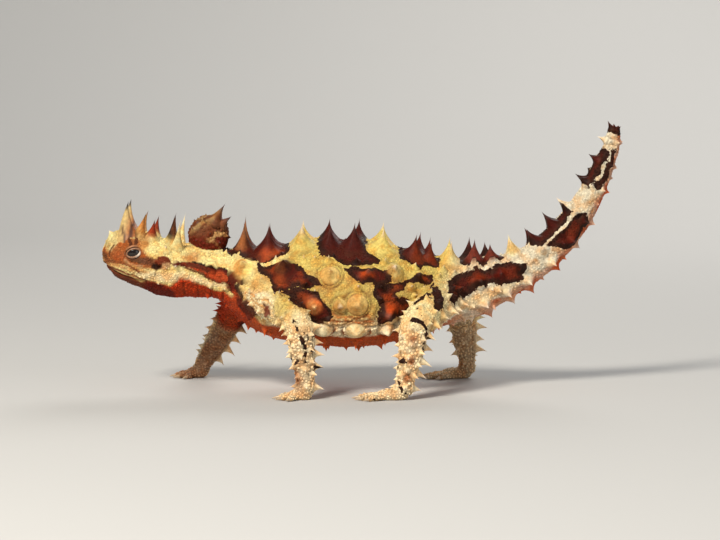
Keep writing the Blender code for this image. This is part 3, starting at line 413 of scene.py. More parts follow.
# Thin streaks of colour: colour, half width in mm, and the line.
STREAKS = [
    ((0.09, 0.025, 0.01), 0.42, [(6.0, 36), (7.2, 52), (8.1, 65)]),
    ((0.09, 0.025, 0.01), 0.38, [(7.6, 18), (8.6, 42), (9.0, 62)]),
    (DARK_BROWN, 0.28, [(3.6, 60), (2.9, 74), (2.6, 82)]),
    ((0.24, 0.075, 0.025), 0.36, [(0.6, 98.5), (4, 98.5), (7, 98), (9.2, 102), (11.5, 107)]),
    ((0.16, 0.040, 0.016), 0.26, [(0.4, 119), (4, 121), (8, 123), (12, 121), (15, 122)]),
    ((0.48, 0.24, 0.11), 0.24, [(6.6, 91), (8.4, 95), (10.5, 95), (12.0, 92)]),
    (BLACK, 0.42, [(33.6, 75), (36.2, 74)]),
    (BLACK, 0.34, [(26, 70), (29, 74), (33, 77)]),
    (DARK_BROWN, 0.30, [(24, 84), (29, 89), (33, 99)]),
    ((0.10, 0.022, 0.010), 0.50, [(24.5, 77), (26.5, 78), (28.5, 81), (30.5, 84)]),
    (BLACK, 0.45, [(39.3, 91), (40.6, 98), (41.6, 108)]),
    # Painted orange-brown shadow lines under the flank's bosses.
    ((0.55, 0.23, 0.065), 0.45, [(66, 99), (70, 101), (76, 100)]),
    ((0.48, 0.17, 0.05), 0.38, [(65, 105), (70, 106.5), (77, 105)]),
    (PALE_TAN, 0.22, [(42, 99), (45, 93), (50, 95)]),
    (PALE_TAN, 0.22, [(42.5, 103), (45, 98), (48, 100)]),
    (PALE_TAN, 0.22, [(43.5, 107), (45, 104), (47.5, 106)]),
    (BROWN, 0.24, [(61.0, 116), (61.6, 126), (64, 130), (67, 126), (67.4, 116)]),
    (BROWN, 0.24, [(69.4, 115), (69.6, 124), (72.7, 129), (76.2, 124), (76.4, 115)]),
    (BROWN, 0.24, [(79, 127), (83, 130), (86, 124)]),
]

# Warm spots inside the dark markings: place, girth angle, reach in mm and strength.
WARM_SPOTS = [
    (44.5, 42, 3.0, 0.9),
    (91, 32, 4.0, 0.25),
    (96, 30, 3.5, 0.25),
    (49, 40, 4.5, 0.9),
    (46.6, 62, 2.2, 0.45),
    (56.5, 62, 2.0, 0.45),
    (50.0, 77, 3.4, 0.65),
    (56.0, 75, 3.0, 0.50),
    (60.5, 92, 3.2, 1.0),
    (57.0, 88, 3.0, 0.6),
    (54.0, 80, 2.2, 0.7),
    (82.2, 101, 5.0, 1.0),
    (84.6, 96, 3.4, 0.9),
    (92.0, 62, 3.4, 1.0),
    (87.0, 86, 3.4, 1.0),
    (84.0, 76, 3.0, 0.8),
    (81.0, 86, 2.6, 0.6),
    (75.6, 62, 3.2, 1.0),
    (101.0, 90, 3.0, 0.5),
    (108.0, 72, 4.0, 0.22),
    (118.0, 80, 4.0, 0.14),
    (139.0, 100, 4.0, 0.15),
    (158.4, 118, 2.4, 0.35),
    (170.5, 70, 2.0, 0.12),
]

# Where thin cuts part the solids of the trunk, as distances from the snout tip along the centreline.
BODY_CUTS = {
    "head": (0.0, 26.6),
    "neck": (26.6, 35.4),
    "chest": (35.4, 53.0),
    "belly": (53.0, 84.9),
    "hips": (84.9, 103.0),
    "tail_base": (103.0, 125.4),
    "tail_middle": (125.4, 147.6),
    "tail_end": (147.6, 173.0),
}

# Folds of the trunk's skin: a line of places and girth angles, its depth and width.
FOLDS = [
    ([(61, 104), (66, 107), (72, 107), (78, 104)], 0.35, 0.35),
    ([(62, 108), (68, 111), (74, 110), (79, 107)], 0.40, 0.35),
    ([(63, 112), (70, 115), (78, 113), (83, 108)], 0.40, 0.40),
    ([(40, 96), (43, 100), (47, 101)], 0.28, 0.28),
    ([(40, 100), (43, 104), (47, 104)], 0.28, 0.28),
    ([(41, 104), (44, 108), (48, 108)], 0.28, 0.28),
    ([(40, 108), (43, 112), (46, 114)], 0.25, 0.28),
    ([(24, 112), (24.6, 140), (24.8, 170)], 0.22, 0.35),
    ([(28, 108), (28.4, 140), (28.6, 175)], 0.28, 0.40),
    ([(32, 106), (32.2, 140), (32.4, 175)], 0.28, 0.40),
    ([(36, 112), (36.4, 140), (36.6, 175)], 0.28, 0.40),
    ([(86, 112), (90, 106), (94, 98)], 0.35, 0.40),
    ([(97, 78), (99, 95), (100, 112)], 0.30, 0.40),
    ([(84, 26), (82, 40), (83, 52)], 0.18, 0.35),
]

# Swellings of the head: place, girth angle, height and reach. Pits have depth in place of height.
SWELLINGS = [
    (4.2, 26, 0.9, 1.9),
    (7.6, 52, 0.55, 2.0),
    (12.5, 62, 0.5, 2.2),
    (11.0, 96, 0.45, 2.4),
    (17.6, 83, 0.75, 1.7),
    (21.5, 108, 0.6, 3.4),
    (2.2, 70, 0.35, 1.4),
    (15.0, 112, 0.3, 2.4),
]
PITS = [
    (2.5, 56, 0.7, 0.42),
    (16.9, 90, 0.9, 0.62),
]
LIP_GROOVE_DEPTH, LIP_GROOVE_WIDTH = 0.55, 0.30
LIP_RISE, LIP_RISE_AT, LIP_RISE_WIDTH, LIP_FADE = 0.16, 0.85, 0.5, 0.5
# Lumps of the skin as height and size, and its grain: height on head and neck, height elsewhere, and size.
LUMP_HEIGHT, LUMP_SIZE = 0.22, 4.2
HEAD_GRAIN, GRAIN, GRAIN_SIZE, HEAD_GRAIN_END = 0.24, 0.12, 1.7, 44
# Mounds under large spines: least radius; in shares of it their reach, height on the back and elsewhere.
LEAST_MOUND, MOUND_REACH, BACK_MOUND, LOW_MOUND, MOUND_FALL = 1.3, 2.4, 0.34, 0.16, 1.4
# The ring round a boss and the rim outside it: place as a share of the boss's radius, width and height, and
# the painted shade in the ring.
RING_AT, RING_WIDTH, RING_DEPTH, RING_SHADE = 1.30, 0.32, 0.24, 0.95
RIM_AT, RIM_WIDTH, RIM_HEIGHT = 1.65, 0.5, 0.12
# How strong the ring is, how much that varies, and the size of its breaks in mm.
RING_STRENGTH, RING_VARIES, RING_BREAKS = 0.9, 0.5, 2.6
# The groove down the middle of the back: where it runs, its depth in mm and width in degrees.
GROOVE_START, GROOVE_END, GROOVE_DEPTH, GROOVE_TURN = 36, 124, 0.45, 7.0
# The swelling beside a fold: its share of the fold's depth and its place in widths, and the painted shade in
# a fold; then limbs' creases: depth, width, painted shade and turn.
BESIDE_FOLD, BESIDE_AT, FOLD_SHADE = 0.5, 2.2, 0.8
CREASE_DEPTH, CREASE_WIDTH, LIMB_CREASE_SHADE, CREASE_TURN = 0.25, 0.4, 0.6, 60
# Without scales: mm beside the mouth's line and above the ground, and round a pit as a share of its reach.
BARE_LIP, SOLE_BARE, PIT_BARE = 1.15, 0.45, 1.35
# Creases inside the limbs' joints: share of the limb's length and the turn at their middle.
LIMB_CREASES = [(0.44, -90), (0.48, -90), (0.86, 90)]
# Dark lines on the outer side of the limbs: half width in mm, and places and turns; and brown painted shadows
# on them, under spines and on the lower forearm: place, turn, reach and strength.
LIMB_LINES = {
    "front": [
        (0.50, [(27, 0), (29, 16), (31, 20), (31.6, 14)]),
        (0.48, [(22.8, -18), (23.3, -18)]),
        (0.42, [(25, -12), (25.4, -12)]),
        (0.38, [(27, 34), (27.3, 34)]),
        (0.48, [(33.4, 12), (33.8, 14)]),
        (0.38, [(33.4, -34), (33.8, -34)]),
    ],
    "hind": [
        (0.60, [(17, -30), (14.5, -10), (12, 4), (12.5, 14)]),
        (0.80, [(11.3, 6), (13, 30), (15.6, 46)]),
        (0.50, [(21.5, -14), (21.5, 30), (22, 62), (24.5, 66), (27.5, 66), (28.5, 90)]),
        (0.50, [(31.4, -36), (32.0, -36)]),
        (0.36, [(37, -54), (38.4, -20), (39.5, -14)]),
    ],
}
LIMB_SHADOWS = {
    "front": [(37.5, -70, 3.6, 0.75), (40.5, -50, 2.8, 0.5)],
    "hind": [(25.8, 0, 1.6, 0.8), (31.2, 12, 1.7, 0.9), (35.6, 6, 1.7, 0.8)],
}
LIMB_LOOK_SPAN = {"front": (0.45, 0.56), "hind": (0.30, 0.44)}
SOLE_HEIGHT, SOLE_FADE = 0.02, 1.2

# Scales: their spacing for a radius of 1, how deep they are rooted, and the regions they are parted into.
GRANULE_SPACING = 1.62
GRANULE_FOOT = -0.7
GRANULE_CROWDING, THORN_CROWDING = 3.0, 2.5
# Radius and height of the scales, and the spacing of small thorns, by region.
GRANULES = {
    "trunk": (0.36, 0.11), "front": (0.36, 0.14), "tail": (0.40, 0.13), "limb": (0.36, 0.14),
    "rough_limb": (0.46, 0.26), "foot": (0.34, 0.20), "knob": (0.55, 0.24),
}
GRANULE_WIDTHS, GRANULE_HEIGHTS, GRANULE_STRETCH = (0.82, 1.22), (0.6, 1.35), (0.88, 1.12)
THORN_SPACING = {"trunk": 4.4, "front": 2.8, "tail": 3.3, "limb": 2.5}
THORN_RADII, THORN_HEIGHTS, FINE_THORN = (0.55, 0.95), (1.0, 1.9), 0.8
# No thorns on the snout, under the throat, in creases, and near large spines: share of their radius plus mm.
SNOUT_END, THROAT_TURN, THORN_CREASE = 15, 116, 0.3
SPINE_GAP_SHARE, SPINE_GAP = 1.15, 0.7
# How much lower scales are in creases, and how much painted shade darkens them there.
CREASE_LOWERS, SCALE_CREASE_SHADE = 0.6, 0.7
SCALE_REGIONS = [20.0, 36.0, 60.0, 84.0, 108.0]
FOOT_TOP, LIMB_ROUGH_BELOW = 3.6, 19.5
PATCH = 0.003
# The flat pattern: the strips' margin and length, the body's height, the limbs' start, step and height.
STRIP_EDGE, STRIP_LENGTH, BODY_STRIP = 0.01, 0.98, 0.54
LIMB_STRIPS, LIMB_STRIP_STEP, LIMB_STRIP = 0.57, 0.078, 0.07
# Its squares for feet and knob: their height, where they start and their step, and their size.
SQUARES_AT, FOOT_SQUARES, FOOT_SQUARE_STEP, FOOT_SCALE = 0.94, 0.08, 0.19, (110, 150)
KNOB_SQUARE, KNOB_SCALE = 0.09, (0.07, 0.05)
# Places along the body where the head ends for granules and for thorns, and the tail begins.
FRONT_END, THORN_FRONT_END, TAIL_START, THORN_TAIL_START = 27, 36, 103, 100

# Spines: how far up each ring lies, and how the sides curve in.
BIG_SPINE_SHARES = [0.0, 0.05, 0.12, 0.22, 0.36, 0.52, 0.68, 0.82, 0.93]
SMALL_SPINE_SHARES = [0.0, 0.1, 0.28, 0.5, 0.74, 0.91]
# How hollow the sides are, from straight at 1, and how far the foot spreads into the skin.
BACK_FLARE, SHOULDER_FLARE, BOSS_FLARE, SMALL_FLARE = 2.1, 1.15, 0.68, 1.4
TAIL_FLARE, HEAD_FLARE, LIMB_FLARE = 1.6, 1.55, 1.3
FOOT_SPREAD, BOSS_FOOT_SPREAD, FOOT_FADE = 0.30, 0.06, 0.09
# Girth angles that part the rows of the back and shoulders from those below, and the least radius of a boss.
BACK_EDGE, SHOULDER_EDGE, LEAST_BOSS = 30, 70, 1.4
# Where the low bosses of the flanks begin, and which spines of the shoulder row have a ring round them.
BOSSES_START, RINGED_START, RINGED_END = 63.0, 64.2, 65.8
THORN_SINK, SPINE_RIDGE, BOSS_RIDGE = 0.3, 0.10, 0.26
# How much of a spine's radius stays bare of scales, with colours of its own and without.
BARE_SHARE, ROUGH_SHARE = 0.98, 0.55
# The foot of a spine follows the skin: up to which share of its height, and the least radius for it.
DRAPE_END, LEAST_DRAPED = 0.5, 1.4
HORN_SHARES = [0.0, 0.06, 0.14, 0.24, 0.36, 0.48, 0.6, 0.7, 0.79, 0.87, 0.94, 0.98]
HORN_FLARE, HORN_SIDES, HORN_RIDGE, HORN_PHASE = 1.2, 24, 0.06, 1.0
# Ridges up the spines: size, waves round the spine and how far the spine's own phase moves them.
SPINE_WAVES = [(0.45, 3, 1), (0.3, 5, -1), (0.35, 8, 2)]
# A spine's mesh by its radius, from large to small: least radius, sides and ring shares.
SPINE_MESHES = [(1.6, 28, BIG_SPINE_SHARES), (1.0, 12, SMALL_SPINE_SHARES), (0.0, 7, SMALL_SPINE_SHARES)]

# How near a spine has to be to a row below to have its colours, in mm and degrees; and colours of tips.
COLOUR_REACH, COLOUR_TURN = 0.8, 2
GREY_TIP, CREAM_TIP, WARM_TIP = (0.10, 0.07, 0.065), (0.86, 0.76, 0.55), (0.80, 0.55, 0.22)
# Spines with colours of their own: place, girth angle, then colour in front, behind and at the tip; front and
# rear also paint the light and shade on a lit half and a shaded half.
SPINE_COLOURS = [
    (3.4, 27, HEAD_CREAM, HEAD_CREAM, CREAM_TIP),
    (9.4, 30, (0.56, 0.28, 0.08), (0.50, 0.22, 0.06), (0.02, 0.014, 0.012)),
    (12.8, 24, (0.30, 0.050, 0.018), (0.24, 0.034, 0.014), (0.04, 0.02, 0.015)),
    (18.2, 21, (0.030, 0.014, 0.010), (0.16, 0.055, 0.022), (0.03, 0.015, 0.012)),
    (20.6, 36, (0.80, 0.66, 0.30), (0.78, 0.62, 0.26), CREAM_TIP),
    (38.1, 21, (0.34, 0.13, 0.045), (0.10, 0.030, 0.014), GREY_TIP),
    (39.4, 65, (0.58, 0.28, 0.07), (0.84, 0.64, 0.20), (0.84, 0.62, 0.22)),
    (51.0, 58, (0.13, 0.035, 0.012), (0.05, 0.012, 0.007), (0.03, 0.010, 0.007)),
    (65.0, 63, (0.54, 0.30, 0.08), (0.68, 0.44, 0.135), WARM_TIP),
    (83.5, 55, (0.55, 0.32, 0.09), (0.78, 0.56, 0.20), CREAM_TIP),
    (97.5, 66, (0.72, 0.52, 0.17), (0.76, 0.58, 0.24), CREAM_TIP),
    (61.2, 92, (0.52, 0.20, 0.06), (0.60, 0.17, 0.045), (0.80, 0.50, 0.22)),
    (68.4, 90, (0.50, 0.28, 0.08), (0.70, 0.46, 0.15), CREAM_TIP),
    (72.9, 89, (0.52, 0.28, 0.08), (0.69, 0.44, 0.135), WARM_TIP),
    (90.5, 83, (0.70, 0.48, 0.18), (0.72, 0.52, 0.22), CREAM_TIP),
    (64.0, 121, (0.97, 0.80, 0.48), (0.95, 0.76, 0.44), (0.97, 0.82, 0.52)),
    (72.7, 120, (0.97, 0.80, 0.44), (0.95, 0.76, 0.40), (0.97, 0.82, 0.48)),
    (81.2, 121, (0.95, 0.76, 0.48), (0.84, 0.56, 0.30), CREAM_TIP),
    (108.3, 22, (0.16, 0.030, 0.018), (0.14, 0.028, 0.018), GREY_TIP),
    (114.1, 23, (0.16, 0.030, 0.018), (0.14, 0.028, 0.018), GREY_TIP),
    (120.6, 26, (0.76, 0.60, 0.26), (0.74, 0.56, 0.24), CREAM_TIP),
]
HORN_FOOT, HORN_DARK = (0.36, 0.12, 0.032), (0.07, 0.022, 0.010)
# Dark streaks down the horn's foot towards the eye, as x and z.
HORN_STREAKS = [[(-60.9, 45.6), (-59.7, 41.2)], [(-58.2, 46.6), (-58.8, 41.2)]]
HORN_SIDE, HORN_FRONT, HORN_TIP = (0.50, 0.15, 0.042), (0.60, 0.42, 0.16), (0.035, 0.025, 0.02)
DARK_TIP, PALE_TIP = (0.10, 0.055, 0.048), (0.88, 0.74, 0.60)
# Painted shade in creases, folds, grooves, pits and the mouth's line, round bosses and eyes, at the feet of
# spines and between scales.
CREASE_SHADE = (0.075, 0.024, 0.010)
EDGE_WOBBLE, SHEEN = 0.9, 0.09
CLAW, EYE = (0.50, 0.36, 0.22), (0.010, 0.005, 0.003)
LID_PINK, LID_WHITE = (0.30, 0.14, 0.07), (0.66, 0.55, 0.44)
# Lid folds: their own colour above and painted shadow below.
FOLD_ABOVE, FOLD_SHADOW_BELOW = (0.36, 0.14, 0.050), (0.090, 0.042, 0.020)
# Lids: half length and height of each ring's middle line, its thickness and its lift off the eyeball.
RIM_RING, FOLD_RING = (1.92, 1.20, 0.30, 0.14), (2.50, 1.84, 0.46, 0.06)
EYE_TILT = 0.26
LID_SWELL, LID_SWELL_TURN = 0.22, 0.8
LEAST_LID_DEPTH = 0.4
LID_STEPS, LID_SIDES, LID_FLATNESS = 64, 12, 0.8

# The backdrop in metres: front and back of its floor, the curve's radius, its top and half its width.
FLOOR_FRONT, FLOOR_BACK, CURVE_RADIUS, WALL_TOP, FLOOR_HALF_WIDTH = -1.2, 0.55, 0.35, 2.0, 2.5
LIGHTS_AIM = (0.0, 0.0, 0.03)

FLOOR = (0.52, 0.51, 0.49)
AIR, AIR_STRENGTH = (0.80, 0.86, 0.95), 0.28
# Lights: name, place in metres, width in metres, power and colour.
LIGHTS = [
    ("key", (-0.35, -0.60, 0.62), 0.20, 9.6, (1.0, 0.95, 0.86)),
    ("fill", (0.75, -0.65, 0.30), 0.60, 1.6, (0.94, 0.97, 1.0)),
    ("rim", (0.25, 0.70, 0.55), 0.40, 3.4, (1.0, 0.98, 0.95)),
]

CAMERA_DISTANCE = 900.0
CAMERA_ELEVATION = 5.0
CAMERA_TARGET = (5.64, 0.0, 33.5)
VIEW_WIDTH = 203.0
SENSOR_WIDTH = 36.0


class Tube:
    """A bent, tapering body: a centreline through stations, and how far the skin lies from it."""

    def __init__(self, stations, lateral, squareness, round_start=0.0, round_end=0.0):
        self.rows = np.array(stations, float)
        steps = np.linalg.norm(np.diff(self.rows[:, :3], axis=0), axis=1)
        self.knots = np.concatenate([[0.0], np.cumsum(steps)])
        self.slopes = np.gradient(self.rows, self.knots, axis=0)
        self.lateral = np.array(lateral, float)
        self.power = 2.0 / squareness
        self.round_start, self.round_end = round_start, round_end
        self.length = float(self.knots[-1])

    def read(self, place):
        """The six station values at distances along the centreline, by cubic interpolation."""
        place = np.clip(np.atleast_1d(np.asarray(place, float)), 0.0, self.length)
        i = np.clip(np.searchsorted(self.knots, place, "right") - 1, 0, len(self.knots) - 2)
        width = (self.knots[i + 1] - self.knots[i])[:, None]
        t = (place - self.knots[i])[:, None] / width
        start, end = 2 * t**3 - 3 * t**2 + 1, 3 * t**2 - 2 * t**3
        leave, arrive = t**3 - 2 * t**2 + t, t**3 - t**2
        return (
            start * self.rows[i]
            + end * self.rows[i + 1]
            + width * (leave * self.slopes[i] + arrive * self.slopes[i + 1])
        )

    def rounding(self, place):
        """How much of its full size the tube has near a rounded end."""
        share = np.ones_like(place)
        if self.round_start:
            share = np.sqrt(np.clip(1 - np.clip(1 - place / self.round_start, 0, 1) ** 2, 0, 1))
        if self.round_end:
            left = np.clip(1 - (self.length - place) / self.round_end, 0, 1)
            share = np.minimum(share, np.sqrt(np.clip(1 - left**2, 0, 1)))
        return share

    def frames(self, place):
        """Centres, tangents, lateral and up directions."""
        place = np.clip(np.atleast_1d(np.asarray(place, float)), 0.0, self.length)
        ahead = self.read(place + NEAR)[:, :3]
        behind = self.read(place - NEAR)[:, :3]
        tangent = unit(ahead - behind)
        across = unit(self.lateral - tangent * (tangent @ self.lateral)[:, None])
        return self.read(place)[:, :3], tangent, across, np.cross(tangent, across)

    def points(self, place, degrees, grow=0.0):
        """Points on the skin, or a little outside it by grow."""
        place = np.atleast_1d(np.asarray(place, float))
        centre, _, across, up = self.frames(place)
        sizes = self.read(place)[:, 3:] * self.rounding(place)[:, None] + grow
        turn = np.radians(np.broadcast_to(np.asarray(degrees, float), place.shape))
        sine, cosine = np.sin(turn), np.cos(turn)
        side = signed_power(sine, self.power) * sizes[:, 2]
        rise = signed_power(cosine, self.power) * np.where(cosine > 0, sizes[:, 0], sizes[:, 1])
        return centre + across * side[:, None] + up * rise[:, None]

    def normals(self, place, degrees):
        """Outward directions of the skin."""
        place, degrees = np.atleast_1d(np.asarray(place, float)), np.asarray(degrees, float)
        along = self.points(place + NEAR, degrees) - self.points(place - NEAR, degrees)
        around = self.points(place, degrees + NEAR_TURN) - self.points(place, degrees - NEAR_TURN)
        return unit(np.cross(along, around))

    def locate(self, spots):
        """For points near the tube: place along it, girth angle, and how far outside it they lie."""
        places = np.arange(0.0, self.length, LOCATE_STEP)
        centres, tangents, acrosses, ups = self.frames(places)
        sizes = self.read(places)[:, 3:]
        nearest = np.empty(len(spots), int)
        for start in range(0, len(spots), LOCATE_CHUNK):
            some = slice(start, start + LOCATE_CHUNK)
            nearest[some] = ((spots[some, None, :] - centres[None]) ** 2).sum(axis=2).argmin(axis=1)
        rel = spots - centres[nearest]
        place = places[nearest] + (rel * tangents[nearest]).sum(axis=1)
        side, rise = (rel * acrosses[nearest]).sum(axis=1), (rel * ups[nearest]).sum(axis=1)
        tall = np.where(rise > 0, sizes[nearest, 0], sizes[nearest, 1])
        wide = sizes[nearest, 2]
        inverse = 1 / self.power
        sine, cosine = signed_power(side / wide, inverse), signed_power(rise / tall, inverse)
        spread = np.hypot(sine, cosine)
        beyond = np.maximum(place - self.length, 0) + np.maximum(-place, 0)
        outside = (spread**self.power - 1) * np.minimum(tall, wide) + beyond
        return place, np.degrees(np.arctan2(sine, cosine)), outside


def unit(vectors):
    return vectors / np.maximum(np.linalg.norm(vectors, axis=-1, keepdims=True), 1e-9)


def apart(spots, point):
    """Distances of points from one point."""
    return np.linalg.norm(spots - point, axis=1)


def bell(away, width, power=2):
    """1 where away is 0, falling smoothly to nearly 0 at twice the width."""
    return np.exp(-((away / width) ** power))


def signed_power(value, power):
    return np.sign(value) * np.abs(value) ** power


def smooth(low, high, value):
    """0 below low, 1 above high and a smooth rise between."""
    t = np.clip((value - low) / (high - low), 0, 1)
    return t * t * (3 - 2 * t)


BODY = Tube(
    [(x, 0.0, z, up, down, wide) for x, z, up, down, wide in SPINE_LINE],
    (0, 1, 0),
    BODY_SQUARENESS,
    SNOUT_ROUNDING,
    TAIL_TIP_ROUNDING,
)
LIMB = {
    name: Tube([(x, y, z, r, r, r) for x, y, z, r in rows], (1, 0, 0), LIMB_SQUARENESS)
    for name, rows in LIMBS.items()
}

left_eye = np.array(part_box("eye_left")).mean(axis=0) / MM
SHIFT = left_eye - np.array((EYE_CENTRE[0], -EYE_CENTRE[1], EYE_CENTRE[2]))
BOX_LOW, BOX_HIGH = (np.array(corner) / MM for corner in cad_box)


def on_skin(place, angle):
    """The spot of the trunk's skin at a place and girth angle."""
    return BODY.points(place, angle)[0]


def eye_centre(side):
    return np.array((EYE_CENTRE[0], side * EYE_CENTRE[1], EYE_CENTRE[2]))


def eye_opening(spots, side):
    """Which points are round the outside of an eye, and how far out they are, with 1 at the lids' opening."""
    rel = spots - eye_centre(side)
    near = (side * rel[:, 1] > -EYE_INNER_REACH) & (np.linalg.norm(rel, axis=1) < EYE_REACH)
    return near, np.hypot(rel[:, 0] / LID_HALF_LENGTH, rel[:, 2] / LID_HALF_HEIGHT)


def on_limb(part):
    return (part > 0) & (part < KNOB_PART)


def link(name, data):
    """A new object in the scene."""
    obj = bpy.data.objects.new(name, data)
    bpy.context.scene.collection.objects.link(obj)
    return obj


def read_array(items, key, width=3, kind=np.float32):
    """Values of a mesh's points, edges or triangles, in rows."""
    values = np.empty(len(items) * width, kind)
    items.foreach_get(key, values)
    values = values.reshape(-1, width)
    return values.astype(float) if kind is np.float32 else values


def flat_attribute(mesh, name, values):
    """A number, or a colour, for each vertex."""
    coloured = values.ndim == 2
    layer = mesh.attributes.new(name, "FLOAT_COLOR" if coloured else "FLOAT", "POINT")
    if coloured:
        values = np.column_stack([values, np.ones(len(values))])
    layer.data.foreach_set("color" if coloured else "value", values.astype(np.float32).ravel())


def make_piece(name, points, faces, looks, material, slot, patches=None):
    """A piece of the model, kept in the solids' box. looks holds its attributes, patches its UV spots."""
    mesh = bpy.data.meshes.new(name)
    placed = np.clip(points + SHIFT, BOX_LOW, BOX_HIGH) * MM
    corners = np.array([i for face in faces for i in face], np.int32)
    mesh.vertices.add(len(points))
    mesh.vertices.foreach_set("co", placed.astype(np.float32).ravel())
    mesh.loops.add(len(corners))
    mesh.loops.foreach_set("vertex_index", corners)
    mesh.polygons.add(len(faces))
    counts = np.array([len(face) for face in faces], np.int32)
    mesh.polygons.foreach_set("loop_start", np.concatenate([[0], np.cumsum(counts)[:-1]]).astype(np.int32))
    mesh.update(calc_edges=True)
    mesh.validate()
    for key, values in looks.items():
        flat_attribute(mesh, key, values)
    if patches is not None:
        layer = mesh.uv_layers.new(name="OFBake")
        layer.data.foreach_set("uv", patches[corners].astype(np.float32).ravel())
    mesh.shade_smooth()
    mesh.materials.append(material)
    obj = link(name, mesh)
    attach(obj, "root")
    return obj


def loft(rings, start_point=None, end_point=None):
    """Points and faces of a closed skin over rings, with flat ends or with a point at an end."""
    count, sides = rings.shape[:2]
    points = list(rings.reshape(-1, 3))
    faces = []
    for i in range(count - 1):
        for j in range(sides):
            here, beside = i * sides + j, i * sides + (j + 1) % sides
            faces.append((here, here + sides, beside + sides, beside))
    last = (count - 1) * sides
    if start_point is None:
        faces.append(tuple(range(sides)))
    else:
        points.append(start_point)
        faces += [(len(points) - 1, j, (j + 1) % sides) for j in range(sides)]
    if end_point is None:
        faces.append(tuple(last + j for j in reversed(range(sides))))
    else:
        points.append(end_point)
        faces += [(len(points) - 1, last + (j + 1) % sides, last + j) for j in range(sides)]
    return np.array(points), faces


def join(shapes):
    """One list of points and faces from several."""
    points, faces, start = [], [], 0
    for more_points, more_faces in shapes:
        points.append(more_points)
        faces += [tuple(start + i for i in face) for face in more_faces]
        start += len(more_points)
    return np.concatenate(points), faces


def tube_shape(tube, sides, step):
    """A tube as a closed shape, with rings close together at a rounded end."""
    places = np.linspace(0.0, tube.length, max(3, round(tube.length / step) + 1))
    if tube.round_start:
        places = np.concatenate([[0.04, 0.2, 0.5], places[places > 0.7]])
    if tube.round_end:
        last = tube.length - np.array([0.4, 0.12, 0.02])
        places = np.concatenate([places[places < tube.length - 0.6], last])
    angles = np.arange(sides) * 360 / sides
    grid = tube.points(np.repeat(places, sides), np.tile(angles, len(places)))
    return loft(grid.reshape(len(places), sides, 3))


def ball_shape(centre, radii, across=24, rings=16):
    """A ball stretched along the axes."""
    tilt = np.pi * np.arange(1, rings) / rings
    turn = 2 * np.pi * np.arange(across) / across
    shares = [
        np.outer(np.sin(tilt), np.cos(turn)),
        np.outer(np.sin(tilt), np.sin(turn)),
        np.outer(np.cos(tilt), np.ones(across)),
    ]
    centre, top = np.array(centre, float), (0, 0, radii[2])
    return loft(np.stack(shares, axis=2) * radii + centre, centre + top, centre - top)


def toe_tube(origin, heading, length):
    """A toe lying along the ground."""
    ahead = np.array((-math.cos(heading), math.sin(heading), 0.0))
    stations = [
        (*(origin + ahead * length * share + (0, 0, height)), tall, tall, wide)
        for share, height, tall, wide in TOE_SHAPE
    ]
    return Tube(stations, (-ahead[1], ahead[0], 0), LIMB_SQUARENESS), ahead


def feet():
    """For each foot: the palm's centre and size, and each toe's tube and heading."""
    found = {}
    for name, tube in LIMB.items():
        kind, side = name.split("_")[0], -1 if "left" in name else 1
        end, palm = tube.read(tube.length)[0, :3], PALM[kind]
        middle = np.array((end[0] - PALM_AHEAD[kind], end[1], PALM_HEIGHT))
        front = np.array((middle[0] - palm[0] * TOE_AHEAD, middle[1], 0.0))
        toes = []
        for turn, length in TOES[kind]:
            heading = math.radians(turn) * -side
            origin = front + (0, math.sin(heading) * palm[1] * TOE_ASIDE, 0)
            toes.append(toe_tube(origin, heading, length + palm[0] * TOE_INSIDE))
        found[name] = (middle, palm, toes)
    return found


FEET = feet()


def flesh_shapes():
    """Every overlapping closed shape that the skin is drawn over."""
    shapes = [tube_shape(BODY, *BODY_MESH), ball_shape(NAPE_CENTRE, (NAPE_RADIUS,) * 3, *KNOB_MESH)]
    for name, tube in LIMB.items():
        shapes.append(tube_shape(tube, *LIMB_MESH))
        middle, palm, toes = FEET[name]
        shapes.append(ball_shape(middle, palm))
        shapes += [tube_shape(toe, *TOE_MESH) for toe, _ in toes]
    return shapes


def soften(points, edges):
    """Evens out points by pulling each to the mean of its neighbours, and pushes back to keep the volume."""
    ends = np.concatenate([edges, edges[:, ::-1]])
    count = len(points)
    degree = np.bincount(ends[:, 0], minlength=count)[:, None].astype(float)
    for _ in range(SMOOTHING_ROUNDS):
        for factor in (SMOOTHING_PULL, SMOOTHING_PUSH):
            sums = [np.bincount(ends[:, 0], points[ends[:, 1], k], minlength=count) for k in range(3)]
            points = points + (np.stack(sums, axis=1) / degree - points) * factor
    return points


